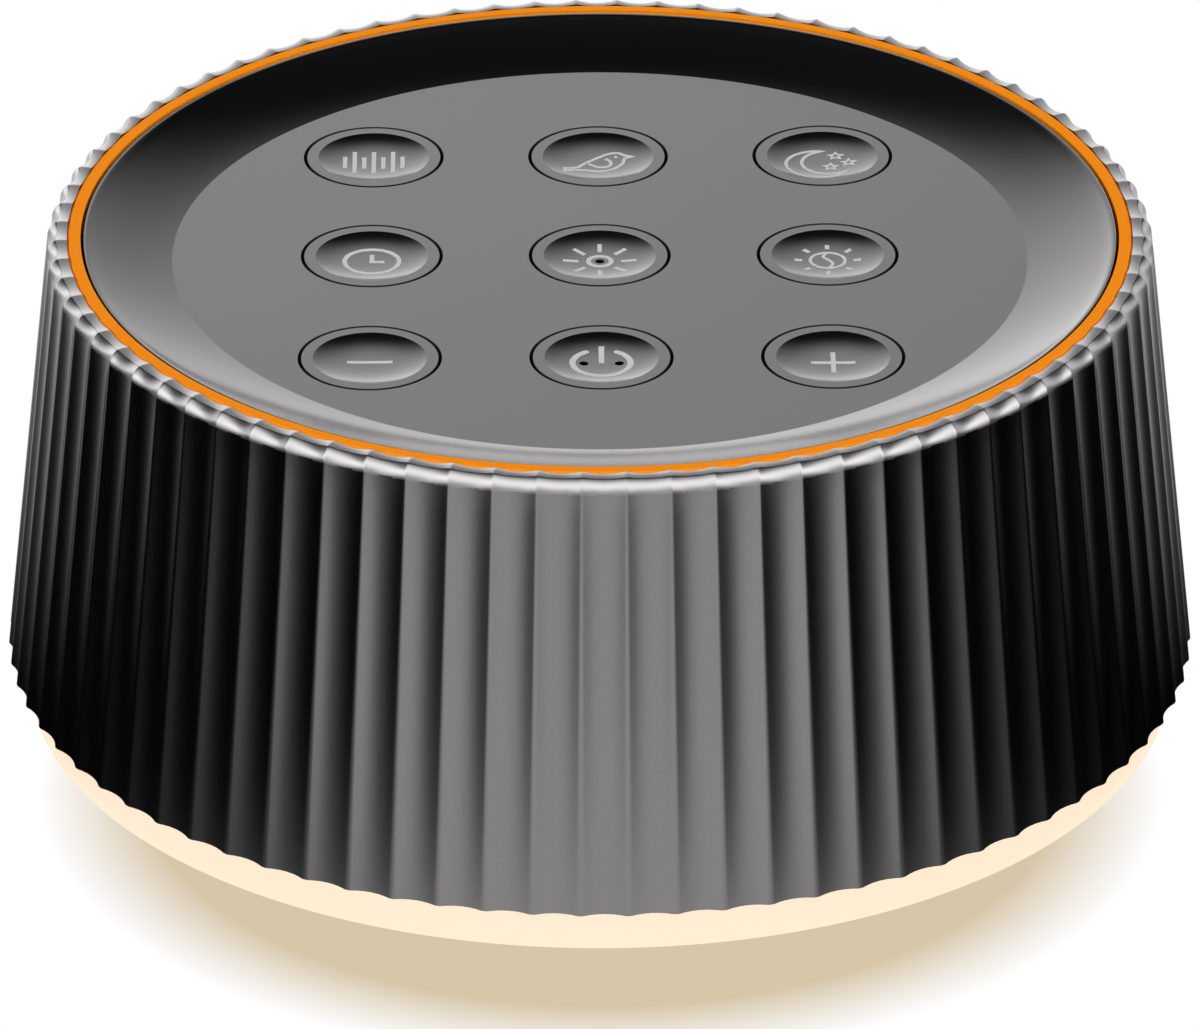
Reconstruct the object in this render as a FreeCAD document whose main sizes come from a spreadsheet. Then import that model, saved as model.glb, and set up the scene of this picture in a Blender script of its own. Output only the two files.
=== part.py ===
import FreeCAD, Part
import os
import re
import Sketcher

# A round bedside sound machine that stands on a table, with a night light under its casing.
# Millimetres, +Z up, origin on the table under the middle, front towards -Y, power inlet at +Y.

sizes = {
    # casing
    "casing_radius": 54.9,
    "casing_foot": 6.3,
    "total_height": 47.7,
    "wall_taper": 6.04,
    "wall": 2.4,
    "rim_round": 1.3,
    "rim_flat": 0.6,
    "flute_count": 80,
    "flute_depth": 0.45,
    "flute_width": 3.9,
    "ledge_drop": 4.2,
    "ledge_thick": 1.5,
    "ledge_width": 6.1,
    "post_radius": 3.5,
    "post_inset": 7.3,
    "post_turn": 38.0,
    "web_thick": 2.0,
    # gaps
    "fit_gap": 0.05,
    "seam_gap": 0.15,
    "loose_gap": 0.3,
    # screws
    "screw_radius": 1.1,
    "screw_head_radius": 2.2,
    "screw_head": 1.4,
    "pilot_gap": 0.05,
    "boss_wall": 1.4,
    "recess_width": 0.6,
    "recess_depth": 0.8,
    # accent ring and top panel
    "ring_width": 1.3,
    "ring_drop": 0.15,
    "panel_drop": 0.3,
    "disc_drop": 2.7,
    "dish_width": 8.05,
    "dish_bend": 44.0,
    "panel_skin": 1.8,
    "skirt": 1.2,
    # buttons
    "button_margin": 9.64,
    "cap_radius": 6.27,
    "cap_gap": 0.14,
    "cap_dish_radius": 5.15,
    "cap_dish_depth": 0.75,
    "cap_skin": 1.0,
    "cap_side": 1.0,
    "cap_flange": 1.0,
    "cap_flange_width": 0.93,
    "stem_radius": 1.2,
    "travel": 0.6,
    "travel_spare": 0.2,
    "pinhole_radius": 0.35,
    "pinhole_spread": 1.6,
    # switches and their board
    "plunger_radius": 1.7,
    "plunger_rise": 1.5,
    "plunger_hold": 1.2,
    "switch_side": 6.0,
    "switch_height": 3.5,
    "board_thick": 1.6,
    "board_edge": 0.6,
    "indicator_length": 1.6,
    "indicator_width": 0.8,
    "indicator_height": 0.6,
    # base cover and feet
    "foot_height": 2.0,
    "foot_radius": 6.5,
    "foot_bevel": 0.5,
    "foot_inset": 1.0,
    "cover_thick": 2.0,
    "cover_gap": 0.2,
    "cover_boss_top": 5.6,
    "grille_pitch": 3.4,
    "grille_hole_radius": 0.8,
    # night light
    "glow_lean": 0.9,
    "glow_tuck": 0.8,
    "glow_wall": 1.5,
    "glow_tongue": 2.7,
    "glow_shelf": 1.3,
    "glow_skirt": 1.8,
    "light_board_thick": 1.2,
    "light_board_width": 10.8,
    "diode_count": 12,
    "diode_length": 3.2,
    "diode_width": 1.6,
    "diode_height": 1.4,
    "reflector_thick": 0.8,
    "reflector_width": 11.0,
    # loudspeaker
    "gasket_thick": 0.8,
    "speaker_radius": 22.5,
    "flange_width": 4.1,
    "steel": 0.8,
    "basket_height": 10.4,
    "basket_top_radius": 14.0,
    "pole_radius": 5.9,
    "pole_gap": 1.4,
    "plate_radius": 13.4,
    "plate_thick": 1.4,
    "magnet_radius": 14.4,
    "magnet_height": 5.0,
    "yoke_thick": 1.8,
    "coil_radius": 6.5,
    "coil_former": 0.3,
    "coil_wire": 0.45,
    "coil_height": 2.4,
    "paper": 0.5,
    "surround_skin": 0.4,
    "surround_roll": 1.2,
    "glue_width": 0.7,
    "cone_depth": 5.8,
    "spider_skin": 0.35,
    "spider_wave": 0.7,
    "speaker_post_inset": 2.5,
    "terminal_length": 7.0,
    "terminal_width": 1.2,
    "terminal_height": 4.0,
    # main board and what is on it
    "main_board_height": 12.0,
    "main_board_gap": 3.5,
    "board_post_ring": 32.0,
    "board_post_radius": 2.5,
    "tongue_width": 14.0,
    "inlet_width": 8.94,
    "inlet_height": 3.26,
    "inlet_length": 7.4,
    "inlet_skin": 0.3,
    "inlet_tab_width": 6.7,
    "inlet_tab_thick": 0.7,
    "inlet_tab_length": 5.2,
    "plug_width": 13.2,
    "plug_height": 7.4,
    "ribbon_width": 10.0,
    "ribbon_thick": 0.8,
    "ribbon_shift": 3.0,
    "ribbon_straight": 2.0,
    "ribbon_out": 33.0,
    "plug_block_length": 12.0,
    "plug_block_width": 4.0,
    "plug_block_height": 3.4,
    "lead_radius": 0.6,
    "lead_spread": 1.5,
    "lead_bend": 2.5,
    "lead_reach": 9.5,
    "processor_side": 7.0,
    "processor_height": 1.0,
    "amplifier_length": 6.0,
    "amplifier_width": 5.0,
    "amplifier_height": 1.6,
    "capacitor_radius": 3.15,
    "capacitor_height": 7.0,
    "pin_side": 0.64,
    "pin_pitch": 2.54,
    "pin_base": 2.5,
    "pin_inset": 1.6,
}

# Heights and radii that follow from the sizes above.
places = {
    "lean": "tan(wall_taper)",
    "rim_z": "total_height - rim_round",
    "rim_r": "casing_radius - (rim_z - casing_foot) * lean - rim_round / cos(wall_taper)",
    "lip_r": "rim_r - rim_flat",
    "ledge_top": "total_height - ledge_drop",
    "ledge_low": "ledge_top - ledge_thick",
    "ledge_r": "lip_r - ledge_width",
    "cover_low": "foot_height",
    "cover_top": "cover_low + cover_thick",
    "cover_r": "casing_radius - glow_tuck - glow_lean - glow_skirt - cover_gap",
    "post_r": "cover_r - post_inset",
    "post_x": "post_r * sin(post_turn)",
    "post_y": "post_r * cos(post_turn)",
    "pilot_r": "screw_radius + pilot_gap",
    "boss_r": "screw_radius + boss_wall",
    "ring_r": "lip_r - fit_gap",
    "panel_r": "ring_r - ring_width - seam_gap",
    "panel_screw_r": "panel_r - skirt - boss_r + 0.8",
    "disc_r": "panel_r - dish_width",
    "disc_z": "total_height - disc_drop",
    "disc_under": "disc_z - panel_skin",
    "pitch": "(disc_r - button_margin) / sqrt(2)",
    "flange_top": "disc_under - fit_gap",
    "flange_low": "flange_top - cap_flange",
    "flange_r": "cap_radius + cap_flange_width",
    "cap_hollow_r": "cap_radius - cap_side",
    "cap_hollow_z": "disc_z - cap_dish_depth - cap_skin",
    "stem_low": "flange_low - travel - travel_spare",
    "switch_top": "stem_low - plunger_rise",
    "board_top": "switch_top - switch_height",
    "board_low": "board_top - board_thick",
    "board_r": "post_r - post_radius - board_edge",
    "board_screw_at": "pitch / 2",
    "glow_top": "casing_foot + glow_tongue",
    "glow_r": "casing_radius - wall - loose_gap",
    "glow_in": "glow_r - glow_wall",
    "shelf_low": "cover_top + cover_gap",
    "shelf_r": "post_r + post_radius + cover_gap",
    "light_board_low": "cover_boss_top",
    "light_board_top": "light_board_low + light_board_thick",
    "light_board_r": "shelf_r - cover_gap",
    "speaker_low": "cover_top + gasket_thick",
    "flange_up": "speaker_low + steel",
    "opening_r": "speaker_radius - flange_width",
    "basket_foot_r": "opening_r + 2.0",
    "basket_top": "speaker_low + basket_height",
    "coil_top": "plate_top + 0.4",
    "plate_top": "basket_top + plate_thick",
    "magnet_top": "plate_top + magnet_height",
    "yoke_top": "magnet_top + yoke_thick",
    "gap_r": "pole_radius + pole_gap",
    "roll_out": "opening_r - 0.2",
    "roll_in": "roll_out - 2 * surround_roll",
    "cone_r": "roll_in - 0.2",
    "cone_low": "flange_up - surround_skin",
    "cone_top": "cone_low + cone_depth",
    "speaker_post_r": "speaker_radius + speaker_post_inset",
    "speaker_post_at": "speaker_post_r / sqrt(2)",
    "main_top": "main_board_height + board_thick",
    "main_in": "speaker_radius + main_board_gap",
    "main_r": "post_r - post_radius - 1.0",
    "inlet_z": "main_top + inlet_height / 2",
    "inlet_mouth": "casing_radius - wall - (inlet_z - casing_foot) * lean - loose_gap",
    "ribbon_low": "main_top + plug_block_height",
    "ribbon_high": "board_low - plug_block_height",
    "ribbon_in": "ribbon_out - ribbon_shift",
    "terminal_r": "speaker_radius - terminal_width",
    "terminal_top": "flange_up + terminal_height",
    "lead_z": "main_top + plug_block_height / 2",
    "lead_block_r": "terminal_r + lead_reach",
}

doc = FreeCAD.newDocument("sound_machine")
sheet = doc.addObject("Spreadsheet::Sheet", "sizes")
for row, (name, size) in enumerate(sizes.items(), 1):
    sheet.set(f"A{row}", name)
    sheet.set(f"B{row}", str(size))
    sheet.setAlias(f"B{row}", name)
doc.recompute()

finished = []


def formula(text):
    """Spell the names of sizes and places out as an expression that reads the sheet."""
    def spell(match):
        word = match.group(0)
        if word in places:
            return "(" + formula(places[word]) + ")"
        if word in sizes:
            return "sizes." + word
        return word
    return re.sub(r"[a-z][a-z0-9_]*", spell, text)


def value(text):
    return float(sheet.evalExpression(formula(text)))


def bind(item, setting, text):
    item.setExpression(setting, formula(text))


def ridge_radius(height):
    """The casing's outer radius on a ridge between flutes."""
    return f"(casing_radius - (({height}) - casing_foot) * lean)"


def inner_radius(height):
    return f"(casing_radius - wall - (({height}) - casing_foot) * lean)"


def origin_item(body, role):
    return next(item for item in body.Origin.OriginFeatures if item.Role == role)


def new_body(label):
    body = doc.addObject("PartDesign::Body", label)
    body.AllowCompound = True
    finished.append(body)
    return body


def new_sketch(body, label, plane="XZ_Plane", offset="0", turn=None):
    """A sketch on one of the body's own planes; turn swings a standing plane about the Z axis."""
    sketch = body.newObject("Sketcher::SketchObject", label)
    sketch.AttachmentSupport = [(origin_item(body, plane), "")]
    sketch.MapMode = "FlatFace"
    if turn is not None:
        upright = FreeCAD.Rotation(FreeCAD.Vector(0, 1, 0), value(turn))
        sketch.AttachmentOffset = FreeCAD.Placement(FreeCAD.Vector(), upright)
        bind(sketch, "AttachmentOffset.Rotation.Angle", turn)
    if offset != "0":
        bind(sketch, "AttachmentOffset.Base.z", offset)
    return sketch


def pin(sketch, shape, point, across, along):
    """Hold a point of a shape at its two distances from the sketch's origin."""
    for kind, axis, text in (("DistanceX", -2, across), ("DistanceY", -1, along)):
        if text == "0":
            sketch.addConstraint(Sketcher.Constraint("PointOnObject", shape, point, axis))
            continue
        number = sketch.addConstraint(Sketcher.Constraint(kind, -1, 1, shape, point, value(text)))
        bind(sketch, f"Constraints[{number}]", text)


def arc_between(start, end, radius):
    """The short arc between two points, turning left for a plus radius and right for a minus one."""
    chord = end - start
    half = chord.Length / 2
    rise = max(radius * radius - half * half, 0) ** 0.5
    left = FreeCAD.Vector(-chord.y, chord.x, 0).normalize()
    side = 1 if radius > 0 else -1
    centre = start + chord * 0.5 + left * (rise * side)
    first, last = (start, end) if radius > 0 else (end, start)
    circle = Part.Circle(centre, FreeCAD.Vector(0, 0, 1), abs(radius))
    return Part.ArcOfCircle(circle, circle.parameter(first), circle.parameter(last))


def draw(sketch, corners, closed=True):
    """Join corners with lines; a corner's third item is the radius of the arc that reaches it."""
    points = [FreeCAD.Vector(value(corner[0]), value(corner[1]), 0) for corner in corners]
    count = len(corners)
    for number in range(0 if closed else 1, count):
        start = points[number - 1]
        corner = corners[number]
        end = points[number]
        if len(corner) == 2:
            shape = sketch.addGeometry(Part.LineSegment(start, end))
            ends = (1, 2)
        else:
            radius = value(corner[2])
            shape = sketch.addGeometry(arc_between(start, end, radius))
            ends = (1, 2) if radius > 0 else (2, 1)
            size = sketch.addConstraint(Sketcher.Constraint("Radius", shape, abs(radius)))
            bind(sketch, f"Constraints[{size}]", corner[2].lstrip("-"))
        pin(sketch, shape, ends[0], *corners[number - 1][:2])
        pin(sketch, shape, ends[1], *corner[:2])


def ring(sketch, across, along, radius):
    centre = FreeCAD.Vector(value(across), value(along), 0)
    shape = sketch.addGeometry(Part.Circle(centre, FreeCAD.Vector(0, 0, 1), value(radius)))
    pin(sketch, shape, 3, across, along)
    size = sketch.addConstraint(Sketcher.Constraint("Radius", shape, value(radius)))
    bind(sketch, f"Constraints[{size}]", radius)


def turned(label, corners):
    """A piece turned on its own upright axis, drawn as half a section."""
    body = new_body(label)
    section = new_sketch(body, label + "_section")
    draw(section, corners)
    piece = body.newObject("PartDesign::Revolution", label + "_turned")
    piece.Profile = section
    piece.ReferenceAxis = (section, ["V_Axis"])
    piece.Angle = 360
    return body


def layer(body, label, low, high, rings=(), outlines=(), cut=False):
    """Add a flat layer to a body between two heights, or cut one away."""
    plan = new_sketch(body, label + "_plan", "XY_Plane", low)
    for spot in rings:
        ring(plan, *spot)
    for outline in outlines:
        draw(plan, outline)
    step = body.newObject("PartDesign::Pocket" if cut else "PartDesign::Pad", label)
    step.Profile = plan
    step.Reversed = cut
    bind(step, "Length", f"({high}) - ({low})")
    return step


def around(body, label, steps, count):
    """Repeat steps evenly about the body's Z axis."""
    circle = body.newObject("PartDesign::PolarPattern", label)
    circle.Originals = steps
    circle.Axis = (origin_item(body, "Z_Axis"), [""])
    circle.Angle = 360
    bind(circle, "Occurrences", count)
    body.Tip = circle
    return circle


def along_path(body, label, path, section, cut=False):
    kind = "PartDesign::SubtractivePipe" if cut else "PartDesign::AdditivePipe"
    pipe = body.newObject(kind, label)
    pipe.Profile = section
    pipe.Spine = (path, [f"Edge{number + 1}" for number in range(path.GeometryCount)])
    return pipe


def place(item, across, along, up):
    for axis, text in (("x", across), ("y", along), ("z", up)):
        bind(item, f"Placement.Base.{axis}", text)


def rod(label, radius, height, across="0", along="0", up="0"):
    piece = doc.addObject("Part::Cylinder", label)
    bind(piece, "Radius", radius)
    bind(piece, "Height", height)
    place(piece, across, along, up)
    return piece


def brick(label, length, width, height, across="0", along="0", up="0"):
    """A box centred on its spot, standing on the height given."""
    piece = doc.addObject("Part::Box", label)
    bind(piece, "Length", length)
    bind(piece, "Width", width)
    bind(piece, "Height", height)
    place(piece, f"({across}) - ({length}) / 2", f"({along}) - ({width}) / 2", up)
    return piece


def joined(label, pieces):
    whole = doc.addObject("Part::MultiFuse", label)
    whole.Shapes = pieces
    return whole


def less(label, base, tool):
    whole = doc.addObject("Part::Cut", label)
    whole.Base = base
    whole.Tool = tool
    return whole


def copies(label, piece, spots, upside_down=False):
    """A group of like solids, one at each spot."""
    group = doc.addObject("Part::Compound", label)
    links = []
    for number, spot in enumerate(spots, 1):
        link = doc.addObject("App::Link", f"{label}_{number}")
        link.LinkedObject = piece
        if upside_down:
            link.Placement.Rotation = FreeCAD.Rotation(FreeCAD.Vector(1, 0, 0), 180)
        place(link, *spot)
        links.append(link)
    group.Links = links
    finished.append(group)
    return group


def keep(piece):
    finished.append(piece)
    return piece


def screw(label, length):
    """A pan head screw with a cross recess, its bearing face at zero and its shank upwards."""
    head = rod(label + "_head", "screw_head_radius", "screw_head", up="0 - screw_head")
    shank = rod(label + "_shank", "screw_radius", length)
    blank = joined(label + "_blank", [head, shank])
    arm = "screw_head_radius * 1.3"
    slots = [
        brick(label + "_slot_x", arm, "recess_width", "recess_depth", up="0 - screw_head"),
        brick(label + "_slot_y", "recess_width", arm, "recess_depth", up="0 - screw_head"),
    ]
    return less(label, blank, joined(label + "_cross", slots))


def four_posts():
    """The four post centres, left and right, front and back."""
    return [(f"{side} * post_x", f"{end} * post_y") for end in (-1, 1) for side in (-1, 1)]


def on_circle(radius, degrees):
    return f"({radius}) * cos({degrees})", f"({radius}) * sin({degrees})"


# Fluted casing: one moulding with a lip for the ring, a ledge for the panel and four screw posts.
def fluted_shell():
    body = turned("fluted_shell", [
        (ridge_radius("casing_foot"), "casing_foot"),
        ("rim_r + rim_round * cos(wall_taper)", "rim_z + rim_round * sin(wall_taper)"),
        ("rim_r", "total_height", "rim_round"),
        ("lip_r", "total_height"),
        ("lip_r", "ledge_top"),
        ("ledge_r", "ledge_top"),
        ("ledge_r", "ledge_low"),
        (inner_radius("ledge_low"), "ledge_low"),
        (inner_radius("casing_foot"), "casing_foot"),
    ])
    for number, (across, along) in enumerate(four_posts(), 1):
        layer(body, f"post_{number}", "cover_boss_top", "ledge_low + 0.5", [(across, along, "post_radius")])
    for number, turn in enumerate(("90 - post_turn", "90 + post_turn", "270 - post_turn", "270 + post_turn"), 1):
        post_web(body, f"web_{number}", turn)
    pilots = [(across, along, "pilot_r") for across, along in four_posts()]
    layer(body, "post_pilots", "cover_boss_top - 1", "cover_boss_top + 12", pilots, cut=True)
    screw_hole = layer(body, "panel_screw_hole", "ledge_low - 1", "ledge_top + 1", [("panel_screw_r", "0", "pilot_r + 0.2")],
                       cut=True)
    around(body, "panel_screw_holes", [screw_hole], "4")
    plug_opening(body)
    flutes(body)


def flutes(body):
    """Shallow hollows that run up the wall, over the rim's rounding and in to the lip."""
    overrun = "2.0"
    path = new_sketch(body, "flute_path", "YZ_Plane")
    start_r = f"({ridge_radius('casing_foot')} + {overrun} * sin(wall_taper))"
    start_z = f"casing_foot - {overrun} * cos(wall_taper)"
    draw(path, [
        (start_r, start_z),
        ("rim_r + rim_round * cos(wall_taper)", "rim_z + rim_round * sin(wall_taper)"),
        ("rim_r", "total_height", "rim_round"),
        ("lip_r - 0.6", "total_height"),
    ], closed=False)
    # The hollow's curve meets the ridge circle half a flute width to each side of its middle.
    bend = "(1 / (2 * flute_depth / (flute_width / 2)^2 - 1 / casing_radius))"
    outside = "1.2"
    half = f"sqrt({bend}^2 - ({bend} - flute_depth - {outside})^2)"
    section = new_sketch(body, "flute_section", "XY_Plane", start_z)
    draw(section, [
        (f"0 - {half}", f"{start_r} + {outside}"),
        ("0", f"{start_r} - flute_depth", bend),
        (half, f"{start_r} + {outside}", bend),
    ])
    flute = along_path(body, "flute", path, section, cut=True)
    flute.Transition = "Transformed"
    flute.Refine = False
    flute_ring = around(body, "flute_ring", [flute], "flute_count")
    flute_ring.Refine = False


def post_web(body, label, turn):
    """A rib that ties a post to the wall, in the upright plane through both."""
    plan = new_sketch(body, label + "_plan", "XZ_Plane", turn=turn)
    foot = "casing_foot + 6"
    head = "ledge_low + 0.5"
    draw(plan, [
        ("post_r", foot),
        (f"{inner_radius(foot)} + wall / 3", foot),
        (f"{inner_radius(head)} + wall / 3", head),
        ("post_r", head),
    ])
    web = body.newObject("PartDesign::Pad", label)
    web.Profile = plan
    web.Midplane = True
    bind(web, "Length", "web_thick")


def plug_opening(body):
    """A round-ended opening in the back wall that lets the power plug reach its socket."""
    plan = new_sketch(body, "plug_opening_plan", "XZ_Plane", "0 - casing_radius - 1")
    stadium(plan, "plug_width", "plug_height")
    opening = body.newObject("PartDesign::Pocket", "plug_opening")
    opening.Profile = plan
    opening.Reversed = True
    bind(opening, "Length", "wall + 6")


def stadium(plan, width, height):
    """A slot shape centred on the power inlet."""
    flat = f"(({width}) - ({height})) / 2"
    draw(plan, [
        (f"0 - {flat}", f"inlet_z - ({height}) / 2", f"({height}) / 2"),
        (flat, f"inlet_z - ({height}) / 2"),
        (f"{flat} + ({height}) / 2", "inlet_z", f"({height}) / 2"),
        (flat, f"inlet_z + ({height}) / 2", f"({height}) / 2"),
        (f"0 - {flat}", f"inlet_z + ({height}) / 2"),
        (f"0 - {flat} - ({height}) / 2", "inlet_z", f"({height}) / 2"),
    ])


# Accent ring: a bright band between the casing's lip and the panel, standing on the ledge.
def accent_ring():
    turned("accent_ring", [
        ("ring_r", "ledge_top"),
        ("ring_r", "total_height - ring_drop"),
        ("ring_r - ring_width", "total_height - ring_drop"),
        ("ring_r - ring_width", "ledge_top"),
    ])


# Top panel: a flat disc with nine button holes, in a dish that climbs to the accent ring.
def top_panel():
    body = turned("top_panel", [
        ("0", "disc_z"),
        ("0", "disc_under"),
        ("disc_r", "disc_under"),
        ("panel_r - skirt", "total_height - panel_drop - panel_skin"),
        ("panel_r - skirt", "ledge_top"),
        ("panel_r", "ledge_top"),
        ("panel_r", "total_height - panel_drop"),
        ("disc_r", "disc_z", "-dish_bend"),
    ])
    board_bosses = [(across, along, "boss_r") for across, along in board_screw_spots()]
    layer(body, "board_bosses", "board_top", "disc_under + 0.2", board_bosses)
    boss = layer(body, "panel_boss", "ledge_top", "disc_z + 0.3", [("panel_screw_r", "0", "boss_r - 0.3")])
    pilot = layer(body, "panel_pilot", "ledge_top - 1", "disc_z", [("panel_screw_r", "0", "pilot_r")], cut=True)
    around(body, "panel_bosses", [boss, pilot], "4")
    pilots = [(across, along, "pilot_r") for across, along in board_screw_spots()]
    layer(body, "board_pilots", "board_top - 1", "disc_z - 1", pilots, cut=True)
    holes = [(across, along, "cap_radius + cap_gap") for across, along in button_spots()]
    layer(body, "button_holes", "disc_under - 1", "disc_z + 1", holes, cut=True)


def button_spots():
    """Centres of the nine buttons, back row first and left to right."""
    return [(f"{column} * pitch", f"{line} * pitch") for line in (1, 0, -1) for column in (-1, 0, 1)]


def board_screw_spots():
    return [(f"{side} * board_screw_at", f"{end} * board_screw_at") for side in (-1, 1) for end in (-1, 1)]


button_names = ["sound", "bird", "moon", "timer", "light", "colour", "minus", "power", "plus"]


# Button caps: hollow, with a finger dish on top, a flange under the panel and a stem in the middle.
def button_cap(name, across, along):
    body = turned(f"button_{name}", [
        ("0", "disc_z - cap_dish_depth", "-(cap_dish_radius^2 + cap_dish_depth^2) / (2 * cap_dish_depth)"),
        ("0", "stem_low"),
        ("stem_radius", "stem_low"),
        ("stem_radius", "cap_hollow_z"),
        ("cap_hollow_r", "cap_hollow_z"),
        ("cap_hollow_r", "flange_low"),
        ("flange_r", "flange_low"),
        ("flange_r", "flange_top"),
        ("cap_radius", "flange_top"),
        ("cap_radius", "disc_z"),
        ("cap_dish_radius", "disc_z"),
    ])
    place(body, across, along, "0")
    if name == "power":
        spots = [(f"{side} * pinhole_spread", "0", "pinhole_radius") for side in (-1, 1)]
        layer(body, "power_pinholes", "cap_hollow_z - 0.5", "disc_z", spots, cut=True)
    if name == "light":
        layer(body, "light_pinhole", "cap_hollow_z + 0.2", "disc_z", [("0", "0", "pinhole_radius")], cut=True)


def switch_plunger(name, across, along):
    height = "plunger_rise + plunger_hold"
    plunger = rod(f"switch_plunger_{name}", "plunger_radius", height, across, along, "switch_top - plunger_hold")
    keep(plunger)


# Tact switches: one square body under each button, open on top for its plunger.
def tact_switches():
    block = brick("switch_block", "switch_side", "switch_side", "switch_height")
    well = rod("switch_well", "plunger_radius + 0.1", "plunger_hold + travel + travel_spare",
               up="switch_height - plunger_hold - travel - travel_spare")
    spots = [(across, along, "board_top") for across, along in button_spots()]
    copies("tact_switches", less("switch_body", block, well), spots)


def button_board():
    body = new_body("button_board")
    layer(body, "button_board_disc", "board_low", "board_top", [("0", "0", "board_r")])
    holes = [(across, along, "screw_radius + 0.2") for across, along in board_screw_spots()]
    layer(body, "button_board_holes", "board_low - 1", "board_top + 1", holes, cut=True)
    spots = [(across, along, "board_low") for across, along in board_screw_spots()]
    copies("button_board_screws", screw("board_screw", "disc_z - 1.5 - board_low"), spots)


def indicator_diodes():
    """Small lights beside the power switch and behind the light switch."""
    body = brick("indicator_body", "indicator_length", "indicator_width", "indicator_height")
    beside = "(switch_side / 2 + 1)"
    copies("indicator_diodes", body, [
        ("0 - pinhole_spread", f"0 - pitch + {beside}", "board_top"),
        ("pinhole_spread", f"0 - pitch + {beside}", "board_top"),
        ("0", beside, "board_top"),
    ])


def panel_screws():
    spots = [(*on_circle("panel_screw_r", degrees), "ledge_low") for degrees in (0, 90, 180, 270)]
    copies("panel_screws", screw("panel_screw", "ledge_thick + disc_z - 1 - ledge_top"), spots)


# Base cover: the bottom plate, with the loudspeaker's grille, its posts and the feet's recesses.
def base_cover():
    body = turned("base_cover", [
        ("0", "cover_low"),
        ("cover_r", "cover_low"),
        ("cover_r", "cover_top"),
        ("0", "cover_top"),
    ])
    bosses = [(across, along, "post_radius") for across, along in four_posts()]
    layer(body, "cover_bosses", "cover_top - 0.5", "cover_boss_top", bosses)
    posts = [(across, along, "boss_r") for across, along in speaker_screw_spots()]
    layer(body, "speaker_posts", "cover_top - 0.5", "flange_up", posts)
    stands = [(across, along, "board_post_radius") for across, along in main_post_spots()]
    layer(body, "board_posts", "cover_top - 0.5", "main_board_height", stands)
    layer(body, "speaker_wall", "cover_top - 0.5", "speaker_low", [
        ("0", "0", "speaker_radius + 1.2"),
        ("0", "0", "speaker_radius + 0.2"),
    ])
    speaker_pilots = [(across, along, "pilot_r") for across, along in speaker_screw_spots()]
    layer(body, "speaker_pilots", "cover_low + 0.8", "flange_up + 1", speaker_pilots, cut=True)
    board_pilots = [(across, along, "pilot_r") for across, along in main_post_spots()]
    layer(body, "board_post_pilots", "cover_top", "main_board_height + 1", board_pilots, cut=True)
    feet = [(across, along, "foot_radius + 0.1") for across, along in four_posts()]
    layer(body, "foot_recesses", "cover_low - 1", "cover_low + foot_inset", feet, cut=True)
    heads = [(across, along, "screw_head_radius + 0.2") for across, along in four_posts()]
    layer(body, "head_recesses", "cover_low", "cover_low + foot_inset + screw_head", heads, cut=True)
    shanks = [(across, along, "screw_radius + 0.2") for across, along in four_posts()]
    layer(body, "base_screw_holes", "cover_low", "cover_boss_top + 1", shanks, cut=True)
    layer(body, "grille_middle", "cover_low - 1", "cover_top + 1", [("0", "0", "grille_hole_radius")], cut=True)
    for circle in range(1, 6):
        spot = [(f"{circle} * grille_pitch", "0", "grille_hole_radius")]
        hole = layer(body, f"grille_hole_{circle}", "cover_low - 1", "cover_top + 1", spot, cut=True)
        around(body, f"grille_ring_{circle}", [hole], f"{6 * circle}")


def speaker_screw_spots():
    return [(f"{side} * speaker_post_at", f"{end} * speaker_post_at") for side in (-1, 1) for end in (-1, 1)]


def main_post_spots():
    return [on_circle("board_post_ring", degrees) for degrees in (90, 210, 330)]


def rubber_feet():
    tread = doc.addObject("Part::Cone", "foot_tread")
    bind(tread, "Radius1", "foot_radius - foot_bevel")
    bind(tread, "Radius2", "foot_radius")
    bind(tread, "Height", "foot_bevel")
    pad = rod("foot_pad", "foot_radius", "foot_height + foot_inset - foot_bevel", up="foot_bevel")
    spots = [(across, along, "0") for across, along in four_posts()]
    copies("rubber_feet", joined("foot", [tread, pad]), spots)


def base_screws():
    length = "cover_boss_top + 10 - cover_low - foot_inset - screw_head"
    spots = [(across, along, "cover_low + foot_inset + screw_head") for across, along in four_posts()]
    copies("base_screws", screw("base_screw", length), spots)


# Night light: a milky ring under the casing, lit from inside by a ring of diodes.
def light_diffuser():
    turned("light_diffuser", [
        ("casing_radius - glow_tuck - glow_lean", "cover_low"),
        ("casing_radius - glow_tuck", "casing_foot"),
        ("glow_r", "casing_foot"),
        ("glow_r - glow_tongue * lean", "glow_top"),
        ("glow_in", "glow_top"),
        ("glow_in", "shelf_low + glow_shelf"),
        ("shelf_r", "shelf_low + glow_shelf"),
        ("shelf_r", "shelf_low"),
        ("cover_r + cover_gap", "shelf_low"),
        ("cover_r + cover_gap", "cover_low"),
    ])


def light_board():
    body = turned("light_board", [
        ("light_board_r", "light_board_low"),
        ("light_board_r", "light_board_top"),
        ("light_board_r - light_board_width", "light_board_top"),
        ("light_board_r - light_board_width", "light_board_low"),
    ])
    holes = [(across, along, "post_radius + 0.5") for across, along in four_posts()]
    layer(body, "light_board_holes", "light_board_low - 1", "light_board_top + 1", holes, cut=True)


def light_diodes():
    body = new_body("light_diodes")
    near = "light_board_r - diode_width - 0.3"
    half = "diode_length / 2"
    step = layer(body, "light_diode", "light_board_top", "light_board_top + diode_height", outlines=[[
        (near, f"0 - {half}"),
        (f"{near} + diode_width", f"0 - {half}"),
        (f"{near} + diode_width", half),
        (near, half),
    ]])
    around(body, "light_diode_ring", [step], "diode_count")


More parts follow.
